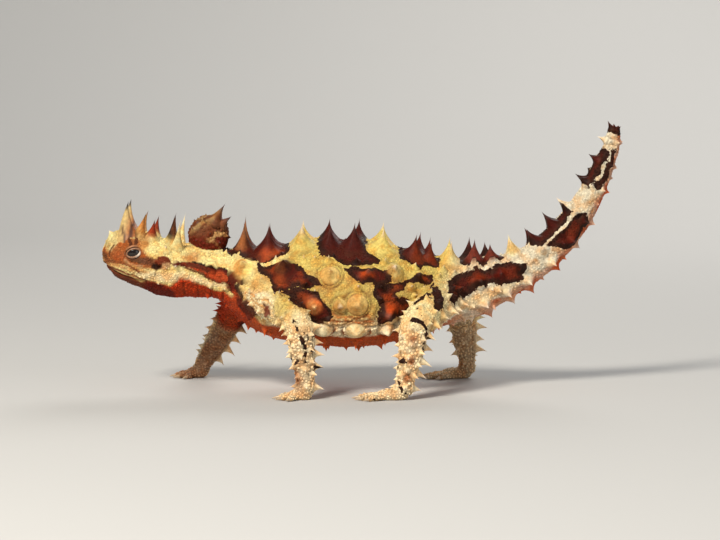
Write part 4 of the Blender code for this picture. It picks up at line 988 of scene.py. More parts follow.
def one_skin():
    """One closed mesh over all the flesh, in mm, finer over the head and the feet."""
    points, faces = join(flesh_shapes())
    mesh = bpy.data.meshes.new("flesh")
    mesh.from_pydata(points.tolist(), [], faces)
    shape = bmesh.new()
    shape.from_mesh(mesh)
    bmesh.ops.recalc_face_normals(shape, faces=shape.faces)
    shape.to_mesh(mesh)
    shape.free()
    obj = link("flesh", mesh)
    remesh = obj.modifiers.new("remesh", "REMESH")
    remesh.mode = "VOXEL"
    remesh.voxel_size = SKIN_VOXEL
    made = bpy.data.meshes.new_from_object(obj.evaluated_get(bpy.context.evaluated_depsgraph_get()))
    bpy.data.objects.remove(obj)
    bpy.data.meshes.remove(mesh)
    spots = soften(read_array(made.vertices, "co"), read_array(made.edges, "vertices", 2, np.int32))
    made.vertices.foreach_set("co", spots.astype(np.float32).ravel())
    shape = bmesh.new()
    shape.from_mesh(made)
    shape.verts.ensure_lookup_table()
    head = (BODY.locate(spots)[0] < HEAD_DETAIL_END) & (spots[:, 0] < HEAD_BACK) & (spots[:, 2] > HEAD_LOW)
    fine = head | (spots[:, 2] < FOOT_DETAIL_HEIGHT)
    chosen = [e for e in shape.edges if fine[e.verts[0].index] and fine[e.verts[1].index]]
    bmesh.ops.subdivide_edges(shape, edges=chosen, cuts=1, use_grid_fill=True)
    shape.to_mesh(made)
    shape.free()
    return made


def mesh_normals(points, mesh):
    """Vertex normals for moved points of a mesh."""
    mesh.vertices.foreach_set("co", points.astype(np.float32).ravel())
    mesh.update()
    return read_array(mesh.vertices, "normal")


def lumps(points, size, shift=0.0):
    """Smooth noise from -1 to 1, with lumps of about this size in mm."""
    return np.array([noise.noise(Vector(p)) for p in (points / size + shift).tolist()])


def mix(first, second, share):
    """Colours from first to second."""
    share = np.clip(share, 0, 1)[:, None]
    return np.asarray(first) * (1 - share) + np.asarray(second) * share


def apart_from_path(along, around, corners):
    """How far points lie from a bent line on the flat pattern."""
    nearest = np.full(len(along), 99.0)
    for (x0, y0), (x1, y1) in zip(corners[:-1], corners[1:]):
        dx, dy = x1 - x0, y1 - y0
        t = np.clip(((along - x0) * dx + (around - y0) * dy) / (dx * dx + dy * dy), 0, 1)
        nearest = np.minimum(nearest, np.hypot(along - x0 - t * dx, around - y0 - t * dy))
    return nearest


def inside_by(along, around, corners):
    """How far points lie inside a polygon, negative outside it."""
    inside = np.zeros(len(along), bool)
    closed = corners + corners[:1]
    for (x0, y0), (x1, y1) in zip(closed[:-1], closed[1:]):
        crossing = (y0 > around) != (y1 > around)
        inside ^= crossing & (along < (x1 - x0) * (around - y0) / ((y1 - y0) or 1e-9) + x0)
    nearest = apart_from_path(along, around, closed)
    return np.where(inside, nearest, -nearest)


def girth_mm(place):
    """The skin's length for a degree of girth."""
    sizes = BODY.read(place)[:, 3:]
    return (sizes[:, 0] + sizes[:, 1] + 2 * sizes[:, 2]) / 4 * math.pi / 180


def near_pattern(apart_by, corners, along, around):
    """Which points are near a shape drawn by place and girth angle, and what apart_by says of them in mm."""
    spread = girth_mm([c[0] for c in corners])
    flat = [(p, a * k) for (p, a), k in zip(corners, spread)]
    places = [p for p, _ in flat]
    near = (along > min(places) - PATTERN_MARGIN) & (along < max(places) + PATTERN_MARGIN)
    return near, apart_by(along[near], around[near], flat)


def shaken_pattern(place, angle, spots):
    """Points on the flat pattern, shaken so that the drawn edges run unevenly, less so on the head."""
    shake = HEAD_SHAKE + (BODY_SHAKE - HEAD_SHAKE) * smooth(24, 40, place)
    fine = 0.3 * lumps(spots, 1.3, 11.0)
    along = place + shake * (lumps(spots, 3.4) + fine)
    return along, np.abs(angle) * girth_mm(place) + shake * (lumps(spots, 3.4, 40.0) + fine)


def trunk_look(place, angle, spots):
    """Ground colour, marking colour and depth inside a marking, for the trunk, head and tail."""
    a = np.abs(angle)
    wave, mottle = lumps(spots, 5.0, 7.0), lumps(spots, 2.4, 15.0)
    ground = mix(CREAM, YELLOW, smooth(46, 54, place) * smooth(108, 98, place) * smooth(112, 88, a))
    ground = mix(ground, HEAD_CREAM, smooth(8, 13, place) * smooth(54, 46, place) * smooth(125, 100, a))
    # Mottled tan painted shade over the flanks and shoulders.
    flank_shade = smooth(52, 66, a) * smooth(112, 98, a) * smooth(35, 41, place) * smooth(104, 92, place)
    ground = mix(ground, FLANK_SHADE_TAN, flank_shade * (0.20 + 0.45 * smooth(-0.25, 0.45, mottle)))
    low = smooth(46, 56, place) * smooth(104, 94, place)
    ground = mix(ground, WARM_CREAM, low * smooth(98, 108, a + 4 * wave))
    ground = mix(ground, BELLY_WHITE, low * smooth(110, 114, a + 2 * wave))
    ground = mix(ground, WHITE, 0.85 * smooth(93, 107, place + 0.10 * (a - 70)))
    # The tail's underside: own reddish colour with painted red light bounced up from the ground.
    under = smooth(98, 112, place) * smooth(112, 134, a + 16 * mottle)
    ground = mix(ground, UNDERSIDE_AND_BOUNCE, under * (0.55 + 0.45 * smooth(-0.2, 0.3, wave)))
    ground = mix(ground, TAN, 0.5 * smooth(100, 112, place) * smooth(0.42, 0.6, mottle) * smooth(60, 80, a))
    # The belly's underside: own reddish colour with painted bounced light.
    ground = mix(ground, UNDERSIDE_AND_BOUNCE, low * smooth(127, 133, a + 3 * wave))
    along, around = shaken_pattern(place, angle, spots)
    for colour, strength, soft, corners in PATCHES:
        near, depth = near_pattern(inside_by, corners, along, around)
        ground[near] = mix(ground[near], colour, strength * smooth(-soft, soft, depth))
    for colour, half, corners in STREAKS:
        near, away = near_pattern(apart_from_path, corners, along, around)
        ground[near] = mix(ground[near], colour, 0.95 * smooth(1.25 * half, 0.6 * half, away))
    mark = mix(MAROON, BLACK, 0.4 * smooth(48, 38, a) * smooth(36, 44, place))
    degree = girth_mm(place)
    for at, turn, reach, strength in WARM_SPOTS:
        away = np.hypot(place - at, (a - turn) * degree)
        mark = mix(mark, ORANGE, strength * smooth(reach, reach * 0.3, away + 0.8 * wave))
    dark = np.full(len(place), -9.0)
    for corners in MARKINGS.values():
        near, depth = near_pattern(inside_by, corners, along, around)
        dark[near] = np.maximum(dark[near], depth)
    return ground, mark, dark


def limb_look(name, place, turn, spots):
    """The same for a limb."""
    tube = LIMB[name]
    kind, side = name.split("_")
    outer = turn if side == "left" else 180 - turn
    outer = (outer + 180) % 360 - 180
    wave, fleck = lumps(spots, 3.0, 21.0), lumps(spots, 1.5, 5.0)
    ground = mix(UPPER_LEG, LEG, smooth(0.45, 0.65, place / tube.length))
    ground = mix(ground, TAN, 0.35 * smooth(0.2, 0.5, wave))
    degree = tube.read(place)[:, 3] * math.pi / 180
    # Brown painted shadows under spines and on the lower forearm.
    for at, girth, reach, strength in LIMB_SHADOWS[kind]:
        away = np.hypot(place - at, (outer - girth) * degree)
        ground = mix(ground, BROWN, strength * smooth(reach, 0.3 * reach, away + 0.5 * fleck))
    # Painted shade on each limb's inner side.
    ground = mix(ground, INNER_LEG_SHADE[kind], 0.75 * smooth(95, 130, np.abs(outer) + 12 * wave))
    dark = (fleck - 0.60) * 2.2
    shaken = outer * degree + 0.5 * fleck
    for half, corners in LIMB_LINES[kind]:
        spread = tube.read([c[0] for c in corners])[:, 3] * math.pi / 180
        flat = [(p, a * k) for (p, a), k in zip(corners, spread)]
        dark = np.maximum(dark, half - apart_from_path(place + 0.4 * wave, shaken, flat))
    return ground, np.full_like(ground, BLACK), dark


def knob_look(spots):
    """The same for the round knob on the nape."""
    out = unit(spots - np.array(NAPE_CENTRE))
    wave = lumps(spots, 1.8, 3.0)
    mark = mix(KNOB_TOP, KNOB_LOW, smooth(0.15, -0.25, out[:, 2] + 0.25 * wave))
    pale = smooth(0.60, 0.30, apart(out[:, [0, 2]], KNOB_PALE_AT))
    mark = mix(mark, PALE_TAN, pale * smooth(-0.1, 0.35, wave))
    # A painted highlight along the top of the knob.
    crown_highlight = smooth(0.45, 0.75, out[:, 2] - 0.5 * out[:, 0]) * smooth(-0.25, 0.2, wave)
    mark = mix(mark, KNOB_HIGHLIGHT, 0.5 * crown_highlight)
    mark = mix(mark, BLACK, smooth(-0.68, -0.85, out[:, 2]))
    return mark, mark, np.full(len(spots), KNOB_DARK)


def lay_over(looks, own, some, share):
    """Blends a part's own looks into those of the points that lie on it."""
    for whole, more in zip(looks[:2], own[:2]):
        whole[some] = mix(whole[some], more, share[some])
    looks[2][some] = looks[2][some] * (1 - share[some]) + own[2] * share[some]


def look_at(spots):
    """Looks for points of the skin, the part that each belongs to, and its place and turn on that part."""
    place, angle, outside = BODY.locate(spots)
    looks = trunk_look(place, angle, spots)
    part = np.zeros(len(spots), int)
    along, turn = place.copy(), angle.copy()
    for number, (name, tube) in enumerate(LIMB.items(), 1):
        at, girth, away = tube.locate(spots)
        share = smooth(-0.8, 1.6, outside - away)
        own = share > 0.5
        share = share * smooth(*LIMB_LOOK_SPAN[name.split("_")[0]], at / tube.length)
        some = share > 0
        lay_over(looks, limb_look(name, at[some], girth[some], spots[some]), some, share)
        part[own], along[own], turn[own] = number, at[own], girth[own]
        outside = np.where(own, np.minimum(outside, away), outside)
    knob = apart(spots, NAPE_CENTRE) - NAPE_RADIUS
    share = smooth(1.3, 0.2, knob) * smooth(-0.4, 0.6, outside - knob)
    lay_over(looks, knob_look(spots[share > 0]), share > 0, share)
    part[share > 0.5] = KNOB_PART
    return dict(zip(("ground", "mark", "dark"), looks)), part, along, turn


def lip_line(side):
    """The line between the lips on one side, from the middle of the snout to the corner."""
    turns = np.arange(90.0, 180.5, 1.0)
    line = []
    for place in MOUTH_PLACES:
        rise = (1 - place / MOUTH_END) ** MOUTH_CURVE
        wanted = MOUTH_BACK_HEIGHT + (MOUTH_FRONT_HEIGHT - MOUTH_BACK_HEIGHT) * rise
        heights = BODY.points(np.full(len(turns), place), turns)[:, 2]
        line.append(on_skin(place, side * turns[np.argmin(np.abs(heights - wanted))]))
    return np.array(line)


def apart_from_line(spots, line):
    """Distance from points to a bent line, and how far along it, from 0 to 1, the nearest spot is."""
    nearest, share = np.full(len(spots), 99.0), np.zeros(len(spots))
    for i in range(len(line) - 1):
        step = line[i + 1] - line[i]
        t = np.clip(((spots - line[i]) @ step) / (step @ step), 0, 1)
        away = apart(spots, line[i] + t[:, None] * step)
        closer = away < nearest
        nearest[closer] = away[closer]
        share[closer] = (i + t[closer]) / (len(line) - 1)
    return nearest, share


LIMB_TEST_ROWS = [tube.read(np.arange(0.0, tube.length, 1.0)) for tube in LIMB.values()]


def distance_to_limbs(point):
    """How far a point lies outside the nearest limb's skin."""
    return min(float((apart(rows[:, :3], point) - rows[:, 3]).min()) for rows in LIMB_TEST_ROWS)


BODY_TEST_ROWS = BODY.read(np.arange(26.0, 125.0, 1.0))


def distance_to_body(point):
    """About how far a point lies outside the trunk."""
    row = BODY_TEST_ROWS[np.argmin(np.abs(BODY_TEST_ROWS[:, 0] - point[0]))]
    rise = point[2] - row[2]
    tall = row[3] if rise > 0 else row[4]
    spread = math.hypot(rise / tall, point[1] / row[5])
    return (spread - 1) * min(tall, row[5])


def trunk_spine_list():
    """Every spine of the trunk, head and tail that the solids have: place, girth angle, height, radius."""
    draw = random.Random(SEED)
    found = []

    def both_sides(place, angle, height, radius):
        for side in SIDES:
            vary = 1 + draw.uniform(-HEIGHT_VARIES, HEIGHT_VARIES)
            shift = draw.uniform(-PLACE_VARIES, PLACE_VARIES)
            shift += FAR_SHIFTS.get(place, 0.0) if side > 0 else 0.0
            found.append((place + shift, side * angle, height * vary, radius))

    for row in BACK_ROW + SHOULDER_ROW + FLANK_ROW + LOWER_ROW:
        both_sides(*row)
    for angle, first, last, step, height, radius in SMALL_ROWS:
        for place in np.arange(first, last, step):
            both_sides(place + draw.uniform(-1, 1) * SMALL_JITTER, angle, height, radius)
    whorls = [(p, TAIL_WHORL_SHAPE) for p in TAIL_WHORLS]
    whorls += [(p, TAIL_WHORL_SHAPE[1:]) for p in LOWER_TAIL_WHORLS]
    for place, shape in whorls:
        down = max(0.0, (place - TAIL_WHORLS[0]) / (TAIL_WHORLS[-1] - TAIL_WHORLS[0]))
        height = TAIL_HEIGHT_START + (TAIL_HEIGHT_END - TAIL_HEIGHT_START) * down
        radius = TAIL_RADIUS_START + (TAIL_RADIUS_END - TAIL_RADIUS_START) * down
        for angle, share in shape:
            slender = LEAST_TAIL_RADIUS + (1 - LEAST_TAIL_RADIUS) * share
            both_sides(place, angle, height * share, radius * slender)
    for row in HEAD_SPINES + NECK_SPINES:
        both_sides(*row)
    return found


def spine(root, out, lean, height, radius, part, flare, sink=SPINE_SINK):
    """What a spine's mesh is made from."""
    return SimpleNamespace(
        root=np.array(root), out=np.array(out), lean=np.array(lean), height=height, radius=radius,
        part=part, flare=flare, sink=sink, draped=False, ringed=False, colours=None,
    )


def trunk_flare(place, angle, radius):
    """How hollow the sides of a spine of the trunk are."""
    if place < BODY_CUTS["neck"][1]:
        return HEAD_FLARE
    if place > BODY_CUTS["hips"][1]:
        return TAIL_FLARE
    if angle < BACK_EDGE:
        return BACK_FLARE
    if radius < LEAST_BOSS:
        return SMALL_FLARE
    return SHOULDER_FLARE if angle < SHOULDER_EDGE or place < BOSSES_START else BOSS_FLARE


def own_colours(place, angle):
    """The colours that a spine has of its own, if any."""
    for at, turn, *colours in SPINE_COLOURS:
        if abs(place - at) < COLOUR_REACH and abs(abs(angle) - turn) < COLOUR_TURN:
            return colours
    return None


def spine_direction(place, angle):
    """Square to the skin, but nearly upright on the back, whichever way it slopes."""
    out = BODY.normals(place, angle)[0]
    if UPRIGHT_START < place < UPRIGHT_END:
        out = out * (UPRIGHT_SHARE, 1, 1)
    return unit(out)


def trunk_spines():
    """Spines of the head, trunk and tail, kept clear of the limbs and of the thin cuts between nodes."""
    found = []
    for place, angle, height, radius in trunk_spine_list():
        colours = own_colours(place, angle)
        for start, end in BODY_CUTS.values():
            if start <= place < end:
                margin = CUT_CLEARANCE * radius
                low = start + margin if start > 0 else 0.0
                place = min(max(place, low), min(end, BODY.length) - margin)
                break
        root, out = on_skin(place, angle), spine_direction(place, angle)
        tip = root + out * height
        clear = min(distance_to_limbs(spot) for spot in (root, tip, (root + tip) / 2))
        if place > HEAD_DETAIL_END - 0.4 and clear < LEAST_CLEARANCE + LIMB_CLEARANCE * radius:
            continue
        part = "head" if place < BODY_CUTS["neck"][1] else "trunk" if place < BODY_CUTS["hips"][1] else "tail"
        bosses = [other for other in found if other.ringed and radius < LEAST_BOSS]
        if any(np.linalg.norm(root - other.root) < other.radius + radius / 2 for other in bosses):
            continue
        lean = BODY.frames(place)[1][0] * SPINE_LEAN
        item = spine(root, out, lean, height, radius, part, trunk_flare(place, abs(angle), radius))
        in_row = abs(angle) > BACK_EDGE and RINGED_START < place < RINGED_END
        ringed = place > BOSSES_START if abs(angle) > SHOULDER_EDGE else in_row
        item.ringed = part == "trunk" and radius > LEAST_BOSS and ringed
        item.draped = radius > LEAST_DRAPED
        item.colours = colours
        found.append(item)
    return found


def limb_spines(name, start, end):
    """Spines round one length of a limb, larger along its rear edge."""
    tube, left = LIMB[name], "left" in name
    draw = random.Random(SEED + len(name) + int(start * 10))
    found = []
    for row, turn in enumerate(LIMB_SPINE_TURNS):
        rear = turn == LIMB_SPINE_TURNS[-1]
        radius = REAR_SPINE_RADIUS if rear else LIMB_SPINE_RADIUS
        place = start + LIMB_ROW_START + (row % 2) * LIMB_SPINE_STEP / 2
        while place < end - LIMB_ROW_END:
            angle = (turn if left else 180 - turn) + draw.uniform(-LIMB_SPINE_SWAY, LIMB_SPINE_SWAY)
            height = (REAR_SPINE_HEIGHT if rear else LIMB_SPINE_HEIGHT) * draw.uniform(*LIMB_HEIGHTS)
            root, out = tube.points(place, angle)[0], tube.normals(place, angle)[0]
            gap = min(distance_to_body(root), distance_to_body(root + out * height))
            if gap > TRUNK_GAP and root[2] > LOWEST_LIMB_SPINE:
                lean = tube.frames(place)[1][0] * LIMB_SPINE_LEAN
                found.append(spine(root, out, lean, height, radius, "limbs", LIMB_FLARE, LIMB_SPINE_SINK))
            place += LIMB_SPINE_STEP * draw.uniform(*LIMB_STEPS)
    return found


def knob_spines():
    found = []
    for (direction, height, radius), side in product(NAPE_SPINES, SIDES):
        out = unit(np.array(direction) * (1, side, 1))
        root = np.array(NAPE_CENTRE) + out * (NAPE_RADIUS - 0.1)
        found.append(spine(root, out, (NAPE_LEAN, 0, 0), height, radius, "head", HEAD_FLARE))
    return found


def all_spines():
    found = trunk_spines() + knob_spines()
    for name, tube in LIMB.items():
        stops = [0.0, tube.knots[ELBOW], tube.knots[WRIST], tube.length]
        for start, end in zip(stops[:-1], stops[1:]):
            found += limb_spines(name, start, end)
    return found


def sculpt(spots, normals, along, turn, part, spines):
    """Moves the skin to its folds, swellings and hollows, and says how deep each point lies in creases, which
    is painted as shade.
    """
    rough = np.where((part == 0) & (along < HEAD_GRAIN_END), HEAD_GRAIN, GRAIN)
    rise = LUMP_HEIGHT * lumps(spots, LUMP_SIZE, 9.0) + rough * lumps(spots, GRAIN_SIZE, 2.0)
    crease_shade = np.zeros(len(spots))
    for item in spines:
        if item.radius < LEAST_MOUND:
            continue
        away = apart(spots, item.root)
        near = away < MOUND_REACH * item.radius
        share = away[near] / item.radius
        high = BACK_MOUND if item.flare == BACK_FLARE else LOW_MOUND
        rise[near] += high * item.radius * np.exp(-(share**2) * MOUND_FALL)
        # The groove round a boss gets painted shade too.
        if item.ringed:
            strong = RING_STRENGTH + RING_VARIES * lumps(spots[near], RING_BREAKS, 33.0)
            ring = np.clip(strong, 0, 1) * bell((share - RING_AT) * item.radius, RING_WIDTH)
            rise[near] += RIM_HEIGHT * bell((share - RIM_AT) * item.radius, RIM_WIDTH) - RING_DEPTH * ring
            crease_shade[near] = np.maximum(crease_shade[near], RING_SHADE * ring)
    middle = (part == 0) & (along > GROOVE_START) & (along < GROOVE_END)
    rise[middle] -= GROOVE_DEPTH * bell(turn[middle], GROOVE_TURN)
    for (corners, depth, width), side in product(FOLDS, SIDES):
        line = np.array([on_skin(p, side * a) for p, a in corners])
        away, _ = apart_from_line(spots, line)
        dent = bell(away, width)
        rise -= depth * (dent - BESIDE_FOLD * bell(away - BESIDE_AT * width, width))
        crease_shade = np.maximum(crease_shade, FOLD_SHADE * dent)
    for (place, girth, height, reach), side in product(SWELLINGS, SIDES):
        rise += height * bell(apart(spots, on_skin(place, side * girth)), reach)
    for (place, girth, depth, reach), side in product(PITS, SIDES):
        dent = bell(apart(spots, on_skin(place, side * girth)), reach, 4)
        rise -= depth * dent
        crease_shade = np.maximum(crease_shade, dent)
    for side in SIDES:
        away, share = apart_from_line(spots, lip_line(side))
        fade = 1 - LIP_FADE * share**2
        dent = bell(away, LIP_GROOVE_WIDTH) * fade
        rise += LIP_RISE * bell(away - LIP_RISE_AT, LIP_RISE_WIDTH) * fade - LIP_GROOVE_DEPTH * dent
        crease_shade = np.maximum(crease_shade, dent)
    for tube, (share, girth) in product(LIMB.values(), LIMB_CREASES):
        around = np.arange(girth - CREASE_TURN, girth + CREASE_TURN + 1, 20.0)
        line = tube.points(np.full(len(around), share * tube.length), around)
        dent = bell(apart_from_line(spots, line)[0], CREASE_WIDTH)
        rise -= CREASE_DEPTH * dent
        crease_shade = np.maximum(crease_shade, LIMB_CREASE_SHADE * dent)
    spots = spots + normals * rise[:, None]
    for side in SIDES:
        spots, crease_shade = open_eye(spots, crease_shade, side)
    sole = smooth(SOLE_FADE, 0.0, spots[:, 2])
    spots[:, 2] = np.maximum(spots[:, 2], SOLE_HEIGHT)
    return spots, crease_shade * (1 - sole)


def open_eye(spots, crease_shade, side):
    """Pushes the skin behind the eyeball inside the lids' opening, and paints shade in a rim round it."""
    near, oval = eye_opening(spots, side)
    inside = near & (oval < HOLLOW_EDGE)
    spots = spots.copy()
    spots[inside, 1] -= side * EYE_HOLLOW * smooth(HOLLOW_EDGE, HOLLOW_FULL, oval[inside])
    # Painted shade round the eye's opening.
    dark = np.where(near, smooth(EYE_SHADE_EDGE, EYE_SHADE_FULL, oval) * EYE_RIM_SHADE, 0)
    return spots, np.maximum(crease_shade, dark)


def thin_out(spots, spacing):
    """Indices of spots, taken in order, that keep their spacing from all taken before."""
    cell = float(spacing.max())
    keys = np.floor(spots / cell).astype(int).tolist()
    rows, gaps = spots.tolist(), spacing.tolist()
    taken, kept = {}, []
    around = [(i, j, k) for i in (-1, 0, 1) for j in (-1, 0, 1) for k in (-1, 0, 1)]
    for n, (x, y, z) in enumerate(rows):
        i, j, k = keys[n]
        gap = gaps[n]
        free = True
        for a, b, c in around:
            for m in taken.get((i + a, j + b, k + c), ()):
                u, v, w = rows[m]
                if (u - x) ** 2 + (v - y) ** 2 + (w - z) ** 2 < (0.5 * (gap + gaps[m])) ** 2:
                    free = False
                    break
            if not free:
                break
        if free:
            taken.setdefault((i, j, k), []).append(n)
            kept.append(n)
    return np.array(kept)


def scatter(skin, spacing, crowding, seed):
    """Spots all over the skin, none nearer than their spacing: their places, normals and nearest points."""
    rng = np.random.default_rng(seed)
    corners = skin["triangles"]
    a, b, c = (skin["spots"][corners[:, k]] for k in range(3))
    area = np.linalg.norm(np.cross(b - a, c - a), axis=1) / 2
    weight = area / spacing[corners[:, 0]] ** 2
    count = int(weight.sum() * crowding)
    chosen = rng.choice(len(corners), count, p=weight / weight.sum())
    u, v = rng.random(count), rng.random(count)
    over = u + v > 1
    u[over], v[over] = 1 - u[over], 1 - v[over]
    shares = np.stack([1 - u - v, u, v], axis=1)[:, :, None]
    tri = corners[chosen]
    found = {key: (skin[key][tri] * shares).sum(axis=1) for key in ("spots", "before", "normals")}
    found["nearest"] = tri[np.arange(count), shares[:, :, 0].argmax(axis=1)]
    kept = thin_out(found["spots"], spacing[found["nearest"]])
    found = {key: values[kept] for key, values in found.items()}
    found["normals"] = unit(found["normals"])
    return found


def frames_at(normals, turn):
    """Two directions across each normal, turned by an angle."""
    helper = np.where(np.abs(normals[:, [2]]) > 0.8, (1.0, 0.0, 0.0), (0.0, 0.0, 1.0))
    first = unit(np.cross(normals, helper))
    second = np.cross(normals, first)
    cosine, sine = np.cos(turn)[:, None], np.sin(turn)[:, None]
    return first * cosine + second * sine, second * cosine - first * sine


def unwrap(spots, part, along, turn):
    """Where spots lie on the flat pattern: a strip for body and limbs, a square for each foot and knob."""
    u = STRIP_EDGE + STRIP_LENGTH * np.clip(along / BODY.length, 0, 1)
    v = STRIP_EDGE + BODY_STRIP * (turn + 180) / 360
    for number, (name, tube) in enumerate(LIMB.items(), 1):
        own = part == number
        u[own] = STRIP_EDGE + STRIP_LENGTH * np.clip(along[own] / tube.length, 0, 1)
        v[own] = LIMB_STRIPS + LIMB_STRIP_STEP * (number - 1) + LIMB_STRIP * (turn[own] + 180) / 360
        foot = own & (spots[:, 2] < FOOT_TOP)
        rel = spots[foot] - FEET[name][0]
        u[foot] = FOOT_SQUARE_STEP * number + FOOT_SQUARES + rel[:, 0] / FOOT_SCALE[0]
        v[foot] = SQUARES_AT + rel[:, 1] / FOOT_SCALE[1]
    knob = part == KNOB_PART
    out = unit(spots[knob] - np.array(NAPE_CENTRE))
    u[knob] = KNOB_SQUARE + KNOB_SCALE[0] * np.arctan2(out[:, 1], out[:, 0]) / math.pi
    v[knob] = SQUARES_AT + KNOB_SCALE[1] * out[:, 2]
    return np.stack([u, v], axis=1)


def granule_template():
    """A closed dome of thirteen points: across, along and up in shares, with its faces and patch spots."""
    angles = np.arange(6) * math.pi / 3
    ring = np.stack([np.cos(angles), np.sin(angles)], axis=1)
    points = np.concatenate(
        [
            [(0.0, 0.0, 1.0)],
            np.column_stack([ring * 0.66, np.full(6, 0.66)]),
            np.column_stack([ring, np.full(6, GRANULE_FOOT)]),
        ]
    )
    faces = [(0, 1 + j, 1 + (j + 1) % 6) for j in range(6)]
    for j in range(6):
        k = (j + 1) % 6
        faces += [(1 + j, 7 + j, 7 + k), (1 + j, 7 + k, 1 + k)]
    faces += [(7, 12 - j, 11 - j) for j in range(4)]
    return points, np.array(faces)


def granule_sizes(part, along, spots):
    """Radius and height of the scales on each spot of the skin."""
    sizes = np.full((len(part), 2), GRANULES["trunk"])
    limb = on_limb(part)
    for key, own in [
        ("front", along < FRONT_END),
        ("tail", (along > TAIL_START) & (part == 0)),
        ("limb", limb),
        ("rough_limb", limb & (spots[:, 2] < LIMB_ROUGH_BELOW)),
        ("foot", limb & (spots[:, 2] < FOOT_TOP)),
        ("knob", part == KNOB_PART),
    ]:
        sizes[own] = GRANULES[key]
    return sizes[:, 0], sizes[:, 1]


def scales(skin, spines, material):
    """The small scales all over the skin, in one piece for each region."""
    radius, height = granule_sizes(skin["part"], skin["along"], skin["before"])
    found = scatter(skin, radius * GRANULE_SPACING, GRANULE_CROWDING, SEED)
    keep = clear_of_openings(found["before"])
    for item in spines:
        keep &= apart(found["spots"], item.root) > item.radius * (BARE_SHARE if item.colours else ROUGH_SHARE)
    found = {key: values[keep] for key, values in found.items()}
    near = found["nearest"]
    count = len(near)
    rng = np.random.default_rng(SEED + 1)
    radius = radius[near] * rng.uniform(*GRANULE_WIDTHS, count)
    height = height[near] * rng.uniform(*GRANULE_HEIGHTS, count)
    part, along, turn, crease_shade = (skin[key][near] for key in ("part", "along", "turn", "crease_shade"))
    height *= 1 - CREASE_LOWERS * crease_shade
    axes = [*frames_at(found["normals"], rng.uniform(0, math.pi / 3, count)), found["normals"]]
    stretch = rng.uniform(*GRANULE_STRETCH, count)
    template, faces = granule_template()
    points = found["spots"][:, None]
    for k, size in enumerate((radius * stretch, radius / stretch, height)):
        points = points + axes[k][:, None] * (template[None, :, [k]] * size[:, None, None])
    looks, *_ = look_at(found["before"])
    # Painted shade on the scales that sit in creases.
    looks["crease_shade"] = crease_shade * SCALE_CREASE_SHADE
    looks["vary"] = rng.random(count)
    root = unwrap(found["before"], part, along, turn)
    patches = root[:, None] + template[None, :, :2] * PATCH / 2
    region = np.where(part == KNOB_PART, 0, len(SCALE_REGIONS) + 1)
    region = np.where(part == 0, np.digitize(along, SCALE_REGIONS), region)
    for number in np.unique(region):
        own = np.flatnonzero(region == number)
        starts = (np.arange(len(own)) * len(template))[:, None, None]
        make_piece(
            f"scales_{number}",
            points[own].reshape(-1, 3),
            (faces[None] + starts).reshape(-1, 3).tolist(),
            {key: np.repeat(values[own], len(template), axis=0) for key, values in looks.items()},
            material,
            "skin_pale" if number == len(SCALE_REGIONS) + 1 else "skin_back",
            patches[own].reshape(-1, 2),
        )


def clear_of_openings(spots):
    """Which spots lie clear of the eyes, the mouth's line, the nostrils, the ears' pits and the soles."""
    clear = spots[:, 2] > SOLE_BARE
    for side in SIDES:
        near, oval = eye_opening(spots, side)
        clear &= ~(near & (oval < EYE_BARE))
        clear &= apart_from_line(spots, lip_line(side))[0] > BARE_LIP
        for place, girth, _, reach in PITS:
            clear &= apart(spots, on_skin(place, side * girth)) > reach * PIT_BARE
    return clear


def thorns(skin, spines):
    """Many small thorns between the large spines."""
    part, along = skin["part"], skin["along"]
    spacing = np.full(len(part), THORN_SPACING["trunk"])
    spacing[along < THORN_FRONT_END] = THORN_SPACING["front"]
    spacing[(part == 0) & (along > THORN_TAIL_START)] = THORN_SPACING["tail"]
    spacing[on_limb(part)] = THORN_SPACING["limb"]
    found = scatter(skin, spacing, THORN_CROWDING, SEED + 2)
    keep = clear_of_openings(found["before"]) & (found["before"][:, 2] > FOOT_TOP)
    near = found["nearest"]
    front = (part[near] == 0) & (along[near] < THORN_FRONT_END)
    bare = front & ((along[near] < SNOUT_END) | (np.abs(skin["turn"][near]) > THROAT_TURN))
    keep &= (skin["crease_shade"][near] < THORN_CREASE) & ~bare
    for item in spines:
        keep &= apart(found["spots"], item.root) > item.radius * SPINE_GAP_SHARE + SPINE_GAP
    draw = random.Random(SEED + 3)
    more = []
    for n in np.flatnonzero(keep):
        place, own = along[near[n]], part[near[n]]
        if on_limb(own):
            region, lean = "limbs", np.array((0.3, 0, -0.9))
        else:
            region = "head" if place < THORN_FRONT_END or own else "trunk" if place < TAIL_START else "tail"
            lean = BODY.frames(np.clip(place, 1, 170))[1][0]
        fine = on_limb(own) or place < THORN_FRONT_END
        radius = draw.uniform(*THORN_RADII) * (FINE_THORN if fine else 1.0)
        height = radius * draw.uniform(*THORN_HEIGHTS)
        root, out = found["spots"][n], found["normals"][n]
        more.append(spine(root, out, LIMB_SPINE_LEAN * lean, height, radius, region, SMALL_FLARE, THORN_SINK))
    return more


